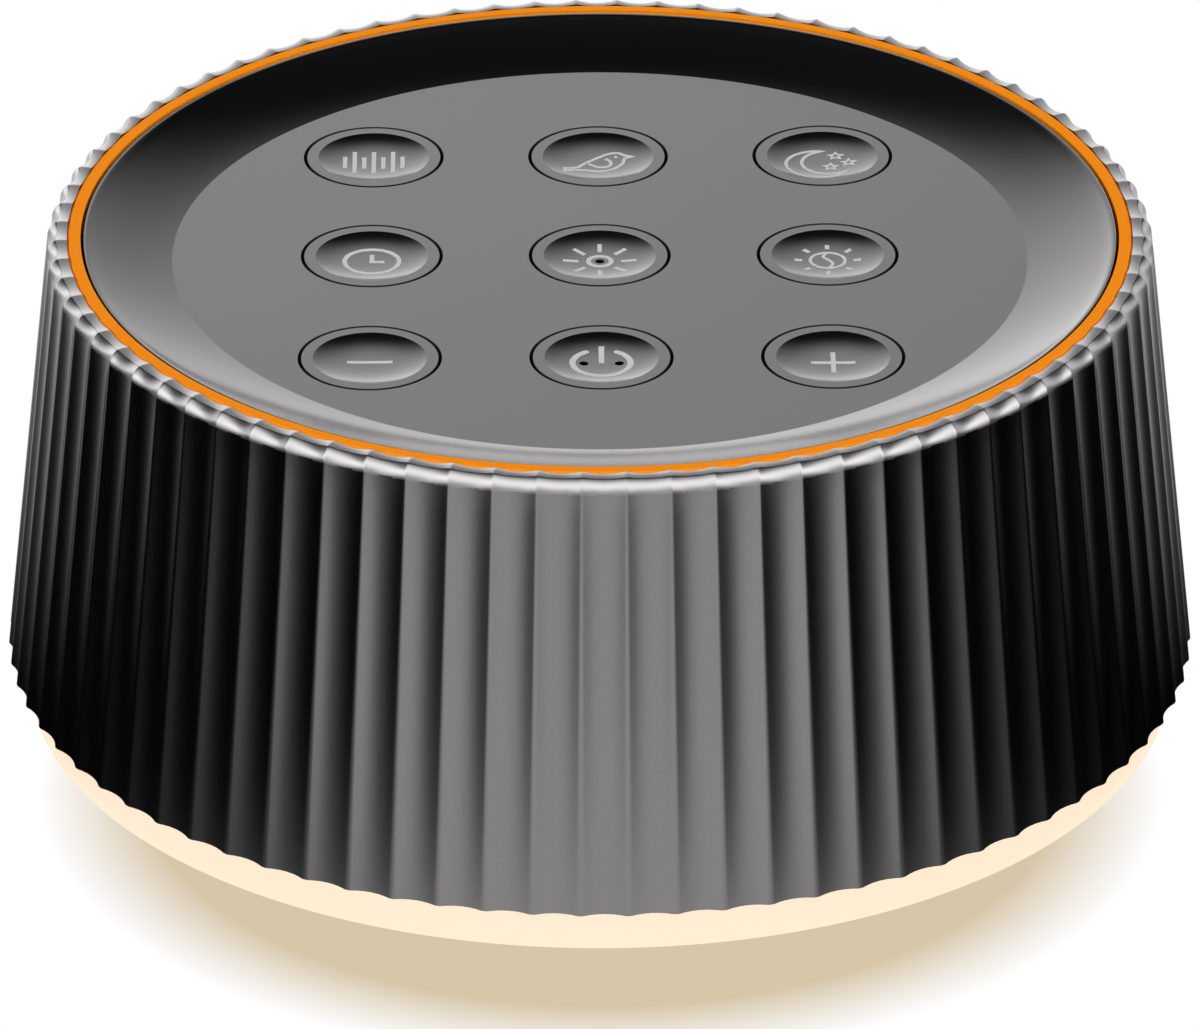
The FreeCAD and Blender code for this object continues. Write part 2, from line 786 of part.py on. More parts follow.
def reflector_ring():
    body = turned("reflector_ring", [
        ("glow_r - glow_tongue * lean - 0.2", "glow_top"),
        ("glow_r - glow_tongue * lean - 0.2", "glow_top + reflector_thick"),
        ("glow_r - reflector_width", "glow_top + reflector_thick"),
        ("glow_r - reflector_width", "glow_top"),
    ])
    holes = [(across, along, "post_radius + 0.4") for across, along in four_posts()]
    layer(body, "reflector_holes", "glow_top - 1", "glow_top + reflector_thick + 1", holes, cut=True)


# Loudspeaker, facing down through the grille.
def speaker_gasket():
    turned("speaker_gasket", [
        ("speaker_radius", "cover_top"),
        ("speaker_radius", "speaker_low"),
        ("opening_r + 0.6", "speaker_low"),
        ("opening_r + 0.6", "cover_top"),
    ])


def speaker_basket():
    body = turned("speaker_basket", [
        ("opening_r", "speaker_low"),
        ("speaker_radius", "speaker_low"),
        ("speaker_radius", "flange_up"),
        ("basket_foot_r", "flange_up"),
        ("basket_top_radius", "basket_top"),
        ("gap_r + 0.3", "basket_top"),
        ("gap_r + 0.3", "basket_top - steel"),
        ("basket_top_radius - steel", "basket_top - steel"),
        ("basket_foot_r - steel", "flange_up"),
        ("opening_r", "flange_up"),
    ])
    near = "basket_top_radius + 0.8"
    far = "basket_foot_r - 0.6"
    window = layer(body, "basket_window", "flange_up + 0.6", "basket_top - steel", outlines=[[
        (f"({near}) * cos(57)", f"0 - ({near}) * sin(57)"),
        (f"({far}) * cos(57)", f"0 - ({far}) * sin(57)"),
        (f"({far}) * cos(33)", f"0 - ({far}) * sin(33)"),
        (f"({near}) * cos(33)", f"0 - ({near}) * sin(33)"),
    ]], cut=True)
    around(body, "basket_windows", [window], "4")


def speaker_magnet_parts():
    turned("speaker_top_plate", [
        ("gap_r", "basket_top"),
        ("plate_radius", "basket_top"),
        ("plate_radius", "plate_top"),
        ("gap_r", "plate_top"),
    ])
    turned("speaker_magnet", [
        ("gap_r + 0.8", "plate_top"),
        ("magnet_radius", "plate_top"),
        ("magnet_radius", "magnet_top"),
        ("gap_r + 0.8", "magnet_top"),
    ])
    turned("speaker_yoke", [
        ("0", "basket_top"),
        ("pole_radius", "basket_top"),
        ("pole_radius", "magnet_top"),
        ("plate_radius", "magnet_top"),
        ("plate_radius", "yoke_top"),
        ("0", "yoke_top"),
    ])


def speaker_moving_parts():
    former = "coil_radius - coil_former"
    slope_in = "coil_radius"
    turned("speaker_cone", [
        ("cone_r", "cone_low"),
        ("cone_r", "flange_up"),
        ("cone_r - glue_width", "flange_up"),
        (slope_in, "cone_top"),
        (slope_in, "cone_top - paper"),
        ("cone_r - glue_width - paper / 2", "cone_low"),
    ])
    cap_edge = "cone_top - paper"
    turned("dust_cap", [
        ("0", f"{cap_edge} - 2.3"),
        ("coil_radius", f"{cap_edge} - 0.3", "coil_radius * 2"),
        ("coil_radius", cap_edge),
        (former, cap_edge),
        ("0", f"{cap_edge} - 2.0", "-coil_radius * 2"),
    ])
    turned("voice_coil", [
        (former, cap_edge),
        ("coil_radius", cap_edge),
        ("coil_radius", "coil_top - coil_height"),
        ("coil_radius + coil_wire", "coil_top - coil_height"),
        ("coil_radius + coil_wire", "coil_top"),
        (former, "coil_top"),
    ])


def speaker_surround():
    """A rubber half roll that ties the paper cone to the basket."""
    middle = "(roll_out + roll_in) / 2"
    outer = "(surround_roll + surround_skin)"
    land = "flange_up + surround_skin"
    reach = f"sqrt({outer}^2 - surround_skin^2)"
    turned("speaker_surround", [
        (f"{middle} + surround_roll", "flange_up", "-surround_roll"),
        ("roll_out + 0.9", "flange_up"),
        ("roll_out + 0.9", land),
        (f"{middle} + {reach}", land),
        (middle, f"flange_up + {outer}", outer),
        (f"{middle} - {reach}", land, outer),
        ("roll_in - 0.2 - glue_width", land),
        ("roll_in - 0.2 - glue_width", "flange_up"),
        (f"{middle} - surround_roll", "flange_up"),
        (middle, "flange_up + surround_roll", "-surround_roll"),
    ])


def speaker_spider():
    """A corrugated cloth disc that keeps the coil centred under the basket's top."""
    seat = "basket_top - steel"
    start = "basket_top_radius - steel - 0.5"
    pitch = f"(({start}) - 1.3 - coil_radius) / 4"
    crest = f"{seat} - spider_skin"
    upper = [("coil_radius", f"{crest} - spider_wave")]
    for wave in range(1, 4):
        drop = "spider_wave / 3" if wave % 2 else "spider_wave"
        upper.append((f"coil_radius + {wave} * {pitch}", f"{crest} - {drop}"))
    upper.append((f"{start} - 1.3", seat))
    upper.append((start, seat))
    lower = [(across, f"{up} - spider_skin") for across, up in reversed(upper)]
    turned("speaker_spider", upper + lower)


def speaker_screws():
    spots = [(across, along, "flange_up + 0.4") for across, along in speaker_screw_spots()]
    copies("speaker_screws", screw("speaker_screw", "cover_thick + gasket_thick"), spots, upside_down=True)
    washer = less("washer", rod("washer_disc", "speaker_post_inset + 0.9", "0.4"),
                  rod("washer_hole", "screw_radius + 0.1", "1"))
    copies("speaker_washers", washer, [(across, along, "flange_up") for across, along in speaker_screw_spots()])


def speaker_terminal():
    keep(brick("speaker_terminal", "terminal_width", "terminal_length", "terminal_height", "terminal_r", "0",
               "flange_up"))


# Main board: a ring round the loudspeaker, with a tongue at the back for the power inlet.
def main_board():
    body = new_body("main_board")
    layer(body, "main_board_ring", "main_board_height", "main_top", [("0", "0", "main_r")])
    side = "tongue_width / 2"
    far = "inlet_mouth - 1.5"
    layer(body, "main_board_tongue", "main_board_height", "main_top", outlines=[[
        (f"0 - {side}", "main_r - 3"),
        (side, "main_r - 3"),
        (side, far),
        (f"0 - {side}", far),
    ]])
    layer(body, "main_board_middle", "main_board_height - 1", "main_top + 1", [("0", "0", "main_in")], cut=True)
    holes = [(across, along, "screw_radius + 0.2") for across, along in main_post_spots()]
    holes += [(across, along, "pin_side * 0.8") for across, along in pin_spots()]
    layer(body, "main_board_holes", "main_board_height - 1", "main_top + 1", holes, cut=True)
    spots = [(across, along, "main_top") for across, along in main_post_spots()]
    copies("main_board_screws", screw("main_screw", "board_thick + 5"), spots, upside_down=True)


def board_parts():
    keep(brick("processor_chip", "processor_side", "processor_side", "processor_height",
               *on_circle("board_post_ring + 0.5", 238), "main_top"))
    keep(brick("amplifier_chip", "amplifier_length", "amplifier_width", "amplifier_height",
               *on_circle("board_post_ring + 0.5", 302), "main_top"))
    can = rod("capacitor_can", "capacitor_radius", "capacitor_height")
    spots = [(*on_circle("board_post_ring + 0.5", degrees), "main_top") for degrees in (55, 122, 180)]
    copies("capacitors", can, spots)
    pin_piece = joined("board_pin", [
        brick("pin_wire", "pin_side", "pin_side", "main_top + 1 - light_board_top"),
        brick("pin_collar", "pin_base", "pin_base", "main_board_height - light_board_top"),
    ])
    copies("board_pins", pin_piece, [(across, along, "light_board_top") for across, along in pin_spots()])


def pin_spots():
    """Four pins in a row that join the light board to the main board."""
    return [("0 - (main_r - pin_inset)", f"{number} * pin_pitch") for number in (-1.5, -0.5, 0.5, 1.5)]


def power_inlet():
    """A metal socket shell, closed at the back, with a contact tongue inside it."""
    body = new_body("power_inlet_shell")
    outside = new_sketch(body, "inlet_outside", "XZ_Plane", "0 - inlet_mouth")
    stadium(outside, "inlet_width", "inlet_height")
    tube = body.newObject("PartDesign::Pad", "inlet_tube")
    tube.Profile = outside
    bind(tube, "Length", "inlet_length")
    inside = new_sketch(body, "inlet_inside", "XZ_Plane", "0 - inlet_mouth")
    stadium(inside, "inlet_width - 2 * inlet_skin", "inlet_height - 2 * inlet_skin")
    hollow = body.newObject("PartDesign::Pocket", "inlet_hollow")
    hollow.Profile = inside
    hollow.Reversed = True
    bind(hollow, "Length", "inlet_length - inlet_skin * 2")
    keep(brick("power_inlet_tongue", "inlet_tab_width", "inlet_tab_length", "inlet_tab_thick", "0",
               "inlet_mouth - inlet_length + 2 * inlet_skin + inlet_tab_length / 2", "inlet_z - inlet_tab_thick / 2"))


def ribbon_cable():
    """A flat cable from the main board up to the button board, with a socket at each end."""
    keep(brick("main_ribbon_socket", "plug_block_length", "plug_block_width", "plug_block_height", "0",
               "0 - ribbon_out", "main_top"))
    keep(brick("button_ribbon_socket", "plug_block_length", "plug_block_width", "plug_block_height", "0",
               "0 - ribbon_in", "ribbon_high"))
    rise = "(ribbon_high - ribbon_low - 2 * ribbon_straight)"
    bend = f"({rise}^2 + ribbon_shift^2) / (4 * ribbon_shift)"
    body = new_body("ribbon_cable")
    path = new_sketch(body, "ribbon_path", "YZ_Plane")
    draw(path, [
        ("0 - ribbon_out", "ribbon_low"),
        ("0 - ribbon_out", "ribbon_low + ribbon_straight"),
        ("0 - ribbon_out + ribbon_shift / 2", "(ribbon_low + ribbon_high) / 2", f"-{bend}"),
        ("0 - ribbon_in", "ribbon_high - ribbon_straight", bend),
        ("0 - ribbon_in", "ribbon_high"),
    ], closed=False)
    section = new_sketch(body, "ribbon_section", "XY_Plane", "ribbon_low")
    side = "ribbon_width / 2"
    draw(section, [
        (f"0 - {side}", "0 - ribbon_out - ribbon_thick / 2"),
        (side, "0 - ribbon_out - ribbon_thick / 2"),
        (side, "0 - ribbon_out + ribbon_thick / 2"),
        (f"0 - {side}", "0 - ribbon_out + ribbon_thick / 2"),
    ])
    along_path(body, "ribbon", path, section)


def speaker_leads():
    """Two wires from the loudspeaker's tags to their socket on the main board."""
    keep(brick("speaker_lead_socket", "plug_block_width", "plug_block_height * 2", "plug_block_height",
               "lead_block_r + plug_block_width / 2", "0", "main_top"))
    for name, side in (("red", -1), ("black", 1)):
        body = new_body(f"speaker_lead_{name}")
        path = new_sketch(body, f"lead_path_{name}", "XZ_Plane", f"{side} * lead_spread")
        draw(path, [
            ("terminal_r", "terminal_top"),
            ("terminal_r", "lead_z - lead_bend"),
            ("terminal_r + lead_bend", "lead_z", "-lead_bend"),
            ("lead_block_r", "lead_z"),
        ], closed=False)
        section = new_sketch(body, f"lead_section_{name}", "XY_Plane", "terminal_top")
        ring(section, "terminal_r", f"{-side} * lead_spread", "lead_radius")
        along_path(body, f"lead_{name}", path, section)


def faults():
    """What failed to build, and which cuts removed nothing."""
    found = []
    for item in doc.Objects:
        if "Invalid" in item.State or "Error" in item.State:
            found.append(f"{item.Label} is {item.State}")
    for piece in finished:
        if piece.Shape.isNull() or not piece.Shape.isValid() or piece.Shape.Volume <= 0:
            found.append(f"{piece.Label} has no good shape")
    cuts = ("PartDesign::Pocket", "PartDesign::SubtractivePipe")
    for item in doc.Objects:
        if item.TypeId in cuts and not item.Shape.Volume < item.BaseFeature.Shape.Volume - 1e-6:
            found.append(f"{item.Label} cuts nothing")
    return found


fluted_shell()
accent_ring()
top_panel()
for button_name, spot in zip(button_names, button_spots()):
    button_cap(button_name, *spot)
    switch_plunger(button_name, *spot)
tact_switches()
button_board()
indicator_diodes()
panel_screws()
base_cover()
rubber_feet()
base_screws()
light_diffuser()
light_board()
light_diodes()
reflector_ring()
speaker_gasket()
speaker_basket()
speaker_magnet_parts()
speaker_moving_parts()
speaker_surround()
speaker_spider()
speaker_screws()
speaker_terminal()
main_board()
board_parts()
power_inlet()
ribbon_cable()
speaker_leads()
doc.recompute()

problems = faults()
if problems:
    raise SystemExit("not written: " + "; ".join(problems))
os.makedirs("parts", exist_ok=True)
for piece in finished:
    piece.Shape.exportStep(f"parts/{piece.Label}.step")
print(f"{len(finished)} pieces written")
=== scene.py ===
import bmesh
import bpy
import math
from mathutils import Matrix, Vector


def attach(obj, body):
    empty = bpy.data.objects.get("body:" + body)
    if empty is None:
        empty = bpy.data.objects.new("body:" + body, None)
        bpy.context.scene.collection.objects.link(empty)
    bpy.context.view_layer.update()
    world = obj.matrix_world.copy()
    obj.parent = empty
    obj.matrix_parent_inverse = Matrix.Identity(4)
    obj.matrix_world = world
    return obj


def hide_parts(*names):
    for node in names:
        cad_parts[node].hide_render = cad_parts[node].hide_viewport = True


# A round bedside sound machine: fluted grey casing, orange ring, dished top with nine buttons, and
# a lit band under the casing. Metres, +Z up, front towards -Y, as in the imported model.
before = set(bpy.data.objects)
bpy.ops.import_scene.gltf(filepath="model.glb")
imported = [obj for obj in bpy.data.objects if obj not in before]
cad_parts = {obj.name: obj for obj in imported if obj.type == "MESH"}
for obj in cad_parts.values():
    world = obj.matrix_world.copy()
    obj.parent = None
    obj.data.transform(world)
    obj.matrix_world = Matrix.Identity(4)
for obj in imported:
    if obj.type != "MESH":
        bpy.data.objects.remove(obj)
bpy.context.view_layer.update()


# Camera: stands far off behind a long lens, 27 degrees above the table and half a degree left of
# straight in front, so the round casing is seen almost without perspective.
camera_data = bpy.data.cameras.new("camera")
camera_data.sensor_width = 36
camera_data.lens = 370.5
camera_data.clip_end = 20
camera = bpy.data.objects.new("camera", camera_data)
bpy.context.scene.collection.objects.link(camera)
camera_height = math.radians(27.33)
camera_turn = math.radians(-0.44)
towards_camera = Vector((math.sin(camera_turn) * math.cos(camera_height),
                         -math.cos(camera_turn) * math.cos(camera_height), math.sin(camera_height)))
camera_aim = Vector((0.00002, 0, 0.01825))
camera_distance = 1.1436
camera.location = camera_aim + towards_camera * camera_distance
camera.rotation_mode = "QUATERNION"
camera.rotation_quaternion = (-towards_camera).to_track_quat("-Z", "Y")
bpy.context.scene.camera = camera
bpy.context.scene.view_settings.view_transform = "Standard"


# Studio: a white table top in a white room. A long soft lamp hangs over the object from left to
# right, and the wall behind it is black above eye level, so satin paint shows both.
def add(tree, kind, inputs=None, **settings):
    """Adds a node. A socket among the inputs is linked, and any other value is set."""
    made = tree.nodes.new(kind)
    for name, setting in settings.items():
        setattr(made, name, setting)
    for name, given in (inputs or {}).items():
        if isinstance(given, bpy.types.NodeSocket):
            tree.links.new(given, made.inputs[name])
        else:
            made.inputs[name].default_value = given
    return made


world = bpy.data.worlds.new("studio")
bpy.context.scene.world = world
world.use_nodes = True
sky = world.node_tree
sky.nodes.clear()
direction = add(sky, "ShaderNodeTexCoord").outputs["Generated"]
along = add(sky, "ShaderNodeSeparateXYZ", {"Vector": direction})
pitch = add(sky, "ShaderNodeMath", {0: along.outputs["Z"], 1: along.outputs["Y"]}, operation="ARCTAN2")


def ramp(tree, factor, steps, whole):
    """A smooth run of grey levels along a factor, its steps given against the whole of the factor."""
    made = add(tree, "ShaderNodeValToRGB", {"Fac": factor})
    made.color_ramp.interpolation = "B_SPLINE"
    while len(made.color_ramp.elements) < len(steps):
        made.color_ramp.elements.new(1.0)
    for step, (place, level) in zip(made.color_ramp.elements, steps):
        step.position = place / whole
        step.color = (level, level, level, 1)
    return made.outputs["Color"]


def sum_in(tree, kind, first, second=0.0, third=0.0):
    """The result of one sum on two or three values."""
    return add(tree, "ShaderNodeMath", {0: first, 1: second, 2: third}, operation=kind).outputs[0]


# The wall's dark upper part comes lower towards the left and right, by this lean.
wall_lean = 0.227
to_side = sum_in(sky, "ABSOLUTE", along.outputs["X"])
turn = sum_in(sky, "DIVIDE", sum_in(sky, "MULTIPLY_ADD", to_side, wall_lean, pitch.outputs[0]), math.pi)

# Degrees from the rear horizon over the top to the front one. The rear wall is pale up to eye level
# and black above it.
rear_wall = ramp(sky, turn, [(0, 0.42), (8, 0.4), (16, 0.31), (24, 0.23), (31, 0.175), (38, 0.07),
                             (44, 0.003), (50, 0.0), (180, 0.0)], 180)
long_lamp = ramp(sky, turn, [(0, 0.0), (96, 0.0), (108, 0.1), (122, 0.6), (138, 0.9), (155, 0.8),
                             (168, 0.4), (180, 0.15)], 180)
# From the left, at 0, to the right, at 1, the rear wall fades.
wall_strength = 7.2
lamp_strength = 3.6
aside = sum_in(sky, "MULTIPLY_ADD", along.outputs["X"], 0.5, 0.5)
wall_fade = ramp(sky, aside, [(0, 0.9), (0.3, 0.85), (0.38, 0.6), (0.46, 0.52), (0.5, 0.5), (0.55, 0.4),
                              (0.6, 0.28), (0.7, 0.27)], 1)
rear_level = sum_in(sky, "MULTIPLY", sum_in(sky, "MULTIPLY", rear_wall, wall_fade), wall_strength)
level = sum_in(sky, "MULTIPLY_ADD", long_lamp, lamp_strength, rear_level)
# Low white cards stand to the left and right, and light the rim's turn along the sides.
side_cards = add(sky, "ShaderNodeMapRange", {
    "Value": to_side, "From Min": 0.42, "From Max": 0.56, "To Max": 1.1}, interpolation_type="SMOOTHSTEP")
lowness = add(sky, "ShaderNodeMapRange", {
    "Value": along.outputs["Z"], "From Min": 0.5, "From Max": 0.3}, interpolation_type="SMOOTHSTEP")
level = sum_in(sky, "MULTIPLY_ADD", side_cards.outputs["Result"], lowness.outputs["Result"], level)
# The camera, and what is seen through clear things, gets a plain white backdrop instead of the room.
light_path = add(sky, "ShaderNodeLightPath")
seen = sum_in(sky, "MAXIMUM", light_path.outputs["Is Camera Ray"], light_path.outputs["Is Transmission Ray"])
room = add(sky, "ShaderNodeBackground", {"Color": (1, 1, 1, 1), "Strength": level})
backdrop = add(sky, "ShaderNodeBackground", {"Color": (1, 1, 1, 1), "Strength": 1.0})
either = add(sky, "ShaderNodeMixShader", {0: seen, 1: room.outputs[0], 2: backdrop.outputs[0]})
add(sky, "ShaderNodeOutputWorld", {"Surface": either.outputs[0]})

table_mesh = bpy.data.meshes.new("table_top")
table_mesh.from_pydata([(-2, -2, 0), (2, -2, 0), (2, 2, 0), (-2, 2, 0)], [], [(0, 1, 2, 3)])
table = bpy.data.objects.new("table_top", table_mesh)
bpy.context.scene.collection.objects.link(table)
table_paint = bpy.data.materials.new("white_table_top")
table_paint.use_nodes = True
tree = table_paint.node_tree
tree.nodes.clear()
spot = add(tree, "ShaderNodeTexCoord").outputs["Object"]
# A pale brown shadow is painted round the foot, a little to the front, and ends softly: painted shadow,
# warmed by painted light from the lit ring, shown to the camera as emission.
painted_shadow_middle = (0, -0.018, 0)
painted_shadow_full = 0.042
painted_shadow_end = 0.0517
away = add(tree, "ShaderNodeVectorMath", {0: spot, 1: painted_shadow_middle}, operation="DISTANCE")
far = add(tree, "ShaderNodeMapRange", {
    "Value": away.outputs["Value"], "From Min": painted_shadow_full, "From Max": painted_shadow_end})
white = add(tree, "ShaderNodeBsdfDiffuse", {"Color": (0.9, 0.9, 0.9, 1)})
plain = add(tree, "ShaderNodeEmission", {"Color": (1, 1, 1, 1), "Strength": 1.0})
# The painted shadow's pale brown colour, emitted, not cast.
painted_shadow_colour = add(tree, "ShaderNodeEmission", {"Color": (0.679, 0.565, 0.392, 1)})
shown = add(tree, "ShaderNodeMixShader", {
    0: far.outputs["Result"], 1: painted_shadow_colour.outputs[0], 2: plain.outputs[0]})
# Mirrored in the casing's paint, the table is pale in front, black at the sides and bright behind,
# as cards laid on it would make it. The camera doesn't see them. Degrees count from the front.
spot_parts = add(tree, "ShaderNodeSeparateXYZ", {"Vector": spot})
across = sum_in(tree, "ABSOLUTE", spot_parts.outputs["X"])
front = sum_in(tree, "MULTIPLY", spot_parts.outputs["Y"], -1.0)
bearing = sum_in(tree, "DIVIDE", sum_in(tree, "ARCTAN2", across, front), math.pi)
cards = ramp(tree, bearing, [(0, 0.88), (12, 0.85), (22, 0.66), (30, 0.37), (38, 0.175), (50, 0.04),
                             (62, 0.005), (76, 0.0), (102, 0.0), (124, 0.45), (146, 1.25), (180, 1.5)], 180)
mirrored = add(tree, "ShaderNodeEmission", {"Color": cards, "Strength": 1.0})
path = add(tree, "ShaderNodeLightPath")
lit = add(tree, "ShaderNodeMixShader", {
    0: path.outputs["Is Camera Ray"], 1: white.outputs[0], 2: shown.outputs[0]})
whole = add(tree, "ShaderNodeMixShader", {
    0: path.outputs["Is Glossy Ray"], 1: lit.outputs[0], 2: mirrored.outputs[0]})
add(tree, "ShaderNodeOutputMaterial", {"Surface": whole.outputs[0]})
table_mesh.materials.append(table_paint)


# Casing: one moulding in ABS, tapered towards the top and fluted all round, sprayed satin metallic
# grey. Its ledge carries the top panel. The posts inside it stay out of sight and aren't drawn here.
def linear(code):
    """An sRGB hex colour as the linear colour that the shaders take."""
    parts = [int(code[place:place + 2], 16) / 255 for place in (0, 2, 4)]
    return [part / 12.92 if part <= 0.04045 else ((part + 0.055) / 1.055) ** 2.4 for part in parts] + [1]


def surface(name, colour, roughness, metallic=0.0, grain=0.3, tint=0.04, gloss=0.04, relief=0.0, more=None):
    """A finish whose colour, roughness and height vary with a grain, all lengths in millimetres."""
    made = bpy.data.materials.new(name)
    made.use_nodes = True
    tree = made.node_tree
    tree.nodes.clear()
    spot = add(tree, "ShaderNodeTexCoord").outputs["Object"]
    speckle = add(tree, "ShaderNodeTexNoise", {"Vector": spot, "Scale": 1000 / grain, "Detail": 3.0})
    base = linear(colour)
    dark = [part * (1 - tint) for part in base[:3]] + [1]
    light = [min(1.0, part * (1 + tint)) for part in base[:3]] + [1]
    shade = add(tree, "ShaderNodeMix", {0: speckle.outputs["Fac"], 6: dark, 7: light}, data_type="RGBA")
    polish = add(tree, "ShaderNodeMapRange", {
        "Value": speckle.outputs["Fac"], "From Min": 0.3, "From Max": 0.7,
        "To Min": roughness - gloss, "To Max": roughness + gloss})
    shader = add(tree, "ShaderNodeBsdfPrincipled", {
        "Base Color": shade.outputs[2], "Roughness": polish.outputs["Result"], "Metallic": metallic})
    for socket, level in (more or {}).items():
        shader.inputs[socket].default_value = level
    if relief:
        bump = add(tree, "ShaderNodeBump", {"Height": speckle.outputs["Fac"], "Distance": relief / 1000})
        tree.links.new(bump.outputs["Normal"], shader.inputs["Normal"])
    add(tree, "ShaderNodeOutputMaterial", {"Surface": shader.outputs["BSDF"]})
    return made


# Sprayed metallic paint: flakes too fine to tell apart give the eye a soft, dark mirror. The flakes
# are drawn 0.12 mm wide, several times their real size, so that they show at all.
metallic_paint = surface("satin_metallic_grey_paint", "8B898A", 0.15, metallic=1.0, grain=0.12, tint=0.1,
                         gloss=0.02, relief=0.0003)


def thing(name, mesh, body="root", stands_for=(), finish=None):
    """Puts a mesh in the scene as a piece that rides on a body and may stand for CAD nodes."""
    made = bpy.data.objects.new(name, mesh)
    bpy.context.scene.collection.objects.link(made)
    if finish:
        mesh.materials.clear()
        mesh.materials.append(finish)
    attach(made, body)
    if stands_for:
        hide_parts(*stands_for)
    return made


def crisp(mesh, degrees=30.0):
    """Smooth shading, with a hard edge wherever two faces meet at more than so many degrees."""
    work = bmesh.new()
    work.from_mesh(mesh)
    for face in work.faces:
        face.smooth = True
    for edge in work.edges:
        edge.smooth = len(edge.link_faces) == 2 and edge.calc_face_angle(0.0) < math.radians(degrees)
    work.to_mesh(mesh)
    work.free()


def softened(corners):
    """A closed outline in millimetres from (radius, height, rounding) corners, the rounding optional."""
    points = []
    for number, corner in enumerate(corners):
        here = Vector(corner[:2])
        rounding = corner[2] if len(corner) > 2 else 0
        if not rounding:
            points.append(here)
            continue
        before = (Vector(corners[number - 1][:2]) - here).normalized()
        after = (Vector(corners[(number + 1) % len(corners)][:2]) - here).normalized()
        half = before.angle(after) / 2
        reach = rounding / math.tan(half)
        centre = here + (before + after).normalized() * (rounding / math.sin(half))
        start = here + before * reach - centre
        sweep = math.pi - 2 * half
        sign = 1 if before.x * after.y - before.y * after.x < 0 else -1
        count = max(2, math.ceil(math.degrees(sweep) / 12))
        for step in range(count + 1):
            turned = start.copy()
            turned.rotate(Matrix.Rotation(-sign * sweep * step / count, 2))
            points.append(centre + turned)
    return points


def spun(name, outline, count, centre=(0, 0)):
    """A solid of revolution from a closed outline in millimetres, round an upright line."""
    work = bmesh.new()
    rings = []
    for radius, height in outline:
        if radius < 1e-6:
            rings.append([work.verts.new((centre[0] / 1000, centre[1] / 1000, height / 1000))])
            continue
        rings.append([
            work.verts.new(((centre[0] + radius * math.cos(turn)) / 1000,
                            (centre[1] + radius * math.sin(turn)) / 1000, height / 1000))
            for turn in (2 * math.pi * step / count for step in range(count))
        ])
    for number, ring in enumerate(rings):
        other = rings[(number + 1) % len(rings)]
        if len(ring) == 1 and len(other) == 1:
            continue
        for step in range(count):
            beside = (step + 1) % count
            corners = [ring[step % len(ring)], ring[beside % len(ring)],
                       other[beside % len(other)], other[step % len(other)]]
            work.faces.new(list(dict.fromkeys(corners)))
    bmesh.ops.recalc_face_normals(work, faces=work.faces)
    mesh = bpy.data.meshes.new(name)
    work.to_mesh(mesh)
    work.free()
    return mesh


def cut(mesh, tools):
    """The mesh with closed tool meshes taken out of it."""
    body = bpy.data.objects.new("being_cut", mesh)
    bpy.context.scene.collection.objects.link(body)
    helpers = []
    for tool in tools:
        helper = bpy.data.objects.new("cutter", tool)
        bpy.context.scene.collection.objects.link(helper)
        boolean = body.modifiers.new("cut", "BOOLEAN")
        boolean.operation = "DIFFERENCE"
        boolean.solver = "MANIFOLD"
        boolean.object = helper
        helpers.append(helper)
    seen_now = body.evaluated_get(bpy.context.evaluated_depsgraph_get())
    result = bpy.data.meshes.new_from_object(seen_now)
    for helper in [body, *helpers]:
        bpy.data.objects.remove(helper)
    result.name = mesh.name
    return result


# Flute depth and width in metres, the rest in millimetres.
flute_count = 80
flute_depth = 0.00045
flute_width = 0.0039
casing_radius = 54.9
casing_foot = 6.3
casing_top = 47.7
casing_wall = 2.4
taper = math.radians(6.04)
lip_r = 48.745
ledge_r = lip_r - 6.1
ledge_z = 43.5


def ridge_radius(height):
    return casing_radius - (height - casing_foot) * math.tan(taper)


def inner_radius(height):
    return ridge_radius(height) - casing_wall / math.cos(taper)


# The half section, each point with the way a flute shifts it, a whole flute's depth being one. The
# wall goes in by a full depth. The rim's turn and the land inside it go in less, and down by half.
# The turn is three arcs, each with its radius, its first and last lean in degrees and its steps.
turn_shift = (0.62, 0.5)
arcs = [(1.8, math.degrees(taper), 52, 12), (0.5, 52, 80, 5), (3.45, 80, 97, 6)]
turn_line = []
radius, height = 0.0, 0.0
for bend, first, last, count in arcs:
    turns = [math.radians(first + (last - first) * step / count) for step in range(count + 1)]
    for before, after in zip(turns, turns[1:]):
        turn_line.append((radius, height))
        radius += bend * (math.cos(after) - math.cos(before))
        height += bend * (math.sin(after) - math.sin(before))
turn_line.append((radius, height))
top_height = max(height for radius, height in turn_line)
wall_top = casing_top - top_height
section = []
for share in (0, 0.02, 0.25, 0.5, 0.75, 0.94, 0.98):
    height = casing_foot + share * (wall_top - casing_foot)
    section.append((ridge_radius(height), height, (1 - 0.38 * share ** 12, 0.5 * share ** 12)))
for radius, height in turn_line:
    section.append((lip_r + radius - turn_line[-1][0], wall_top + height, turn_shift))
# Over the last points the shift inwards fades to nothing, so that the lip is round. It still goes down.
fading = 6
for number in range(1, fading + 1):
    radius, height, shift = section[-number]
    section[-number] = (radius, height, (turn_shift[0] * (number - 1) / fading, turn_shift[1]))
section.append((lip_r, section[-1][1] - 0.08, (0, turn_shift[1])))
ledge_under = ledge_z - 1.5
inside = [(lip_r, casing_top - 0.6), (lip_r, 46.0), (lip_r, ledge_z), (46.0, ledge_z), (ledge_r, ledge_z),
          (ledge_r, ledge_under), (46.0, ledge_under)]
inside += [(inner_radius(height), height) for height in (ledge_under, 32.0, 22.0, 14.0, casing_foot)]
for radius, height in inside:
    section.append((radius, height, (0, 0)))

section_mesh = bpy.data.meshes.new("casing_half_section")
section_mesh.from_pydata([(radius / 1000, 0, height / 1000) for radius, height, shift in section], [], [])
flute_shift = section_mesh.attributes.new("flute_shift", "FLOAT_VECTOR", "POINT")
flute_shift.data.foreach_set("vector", [
    part for radius, height, shift in section for part in (shift[0], 0, shift[1])])

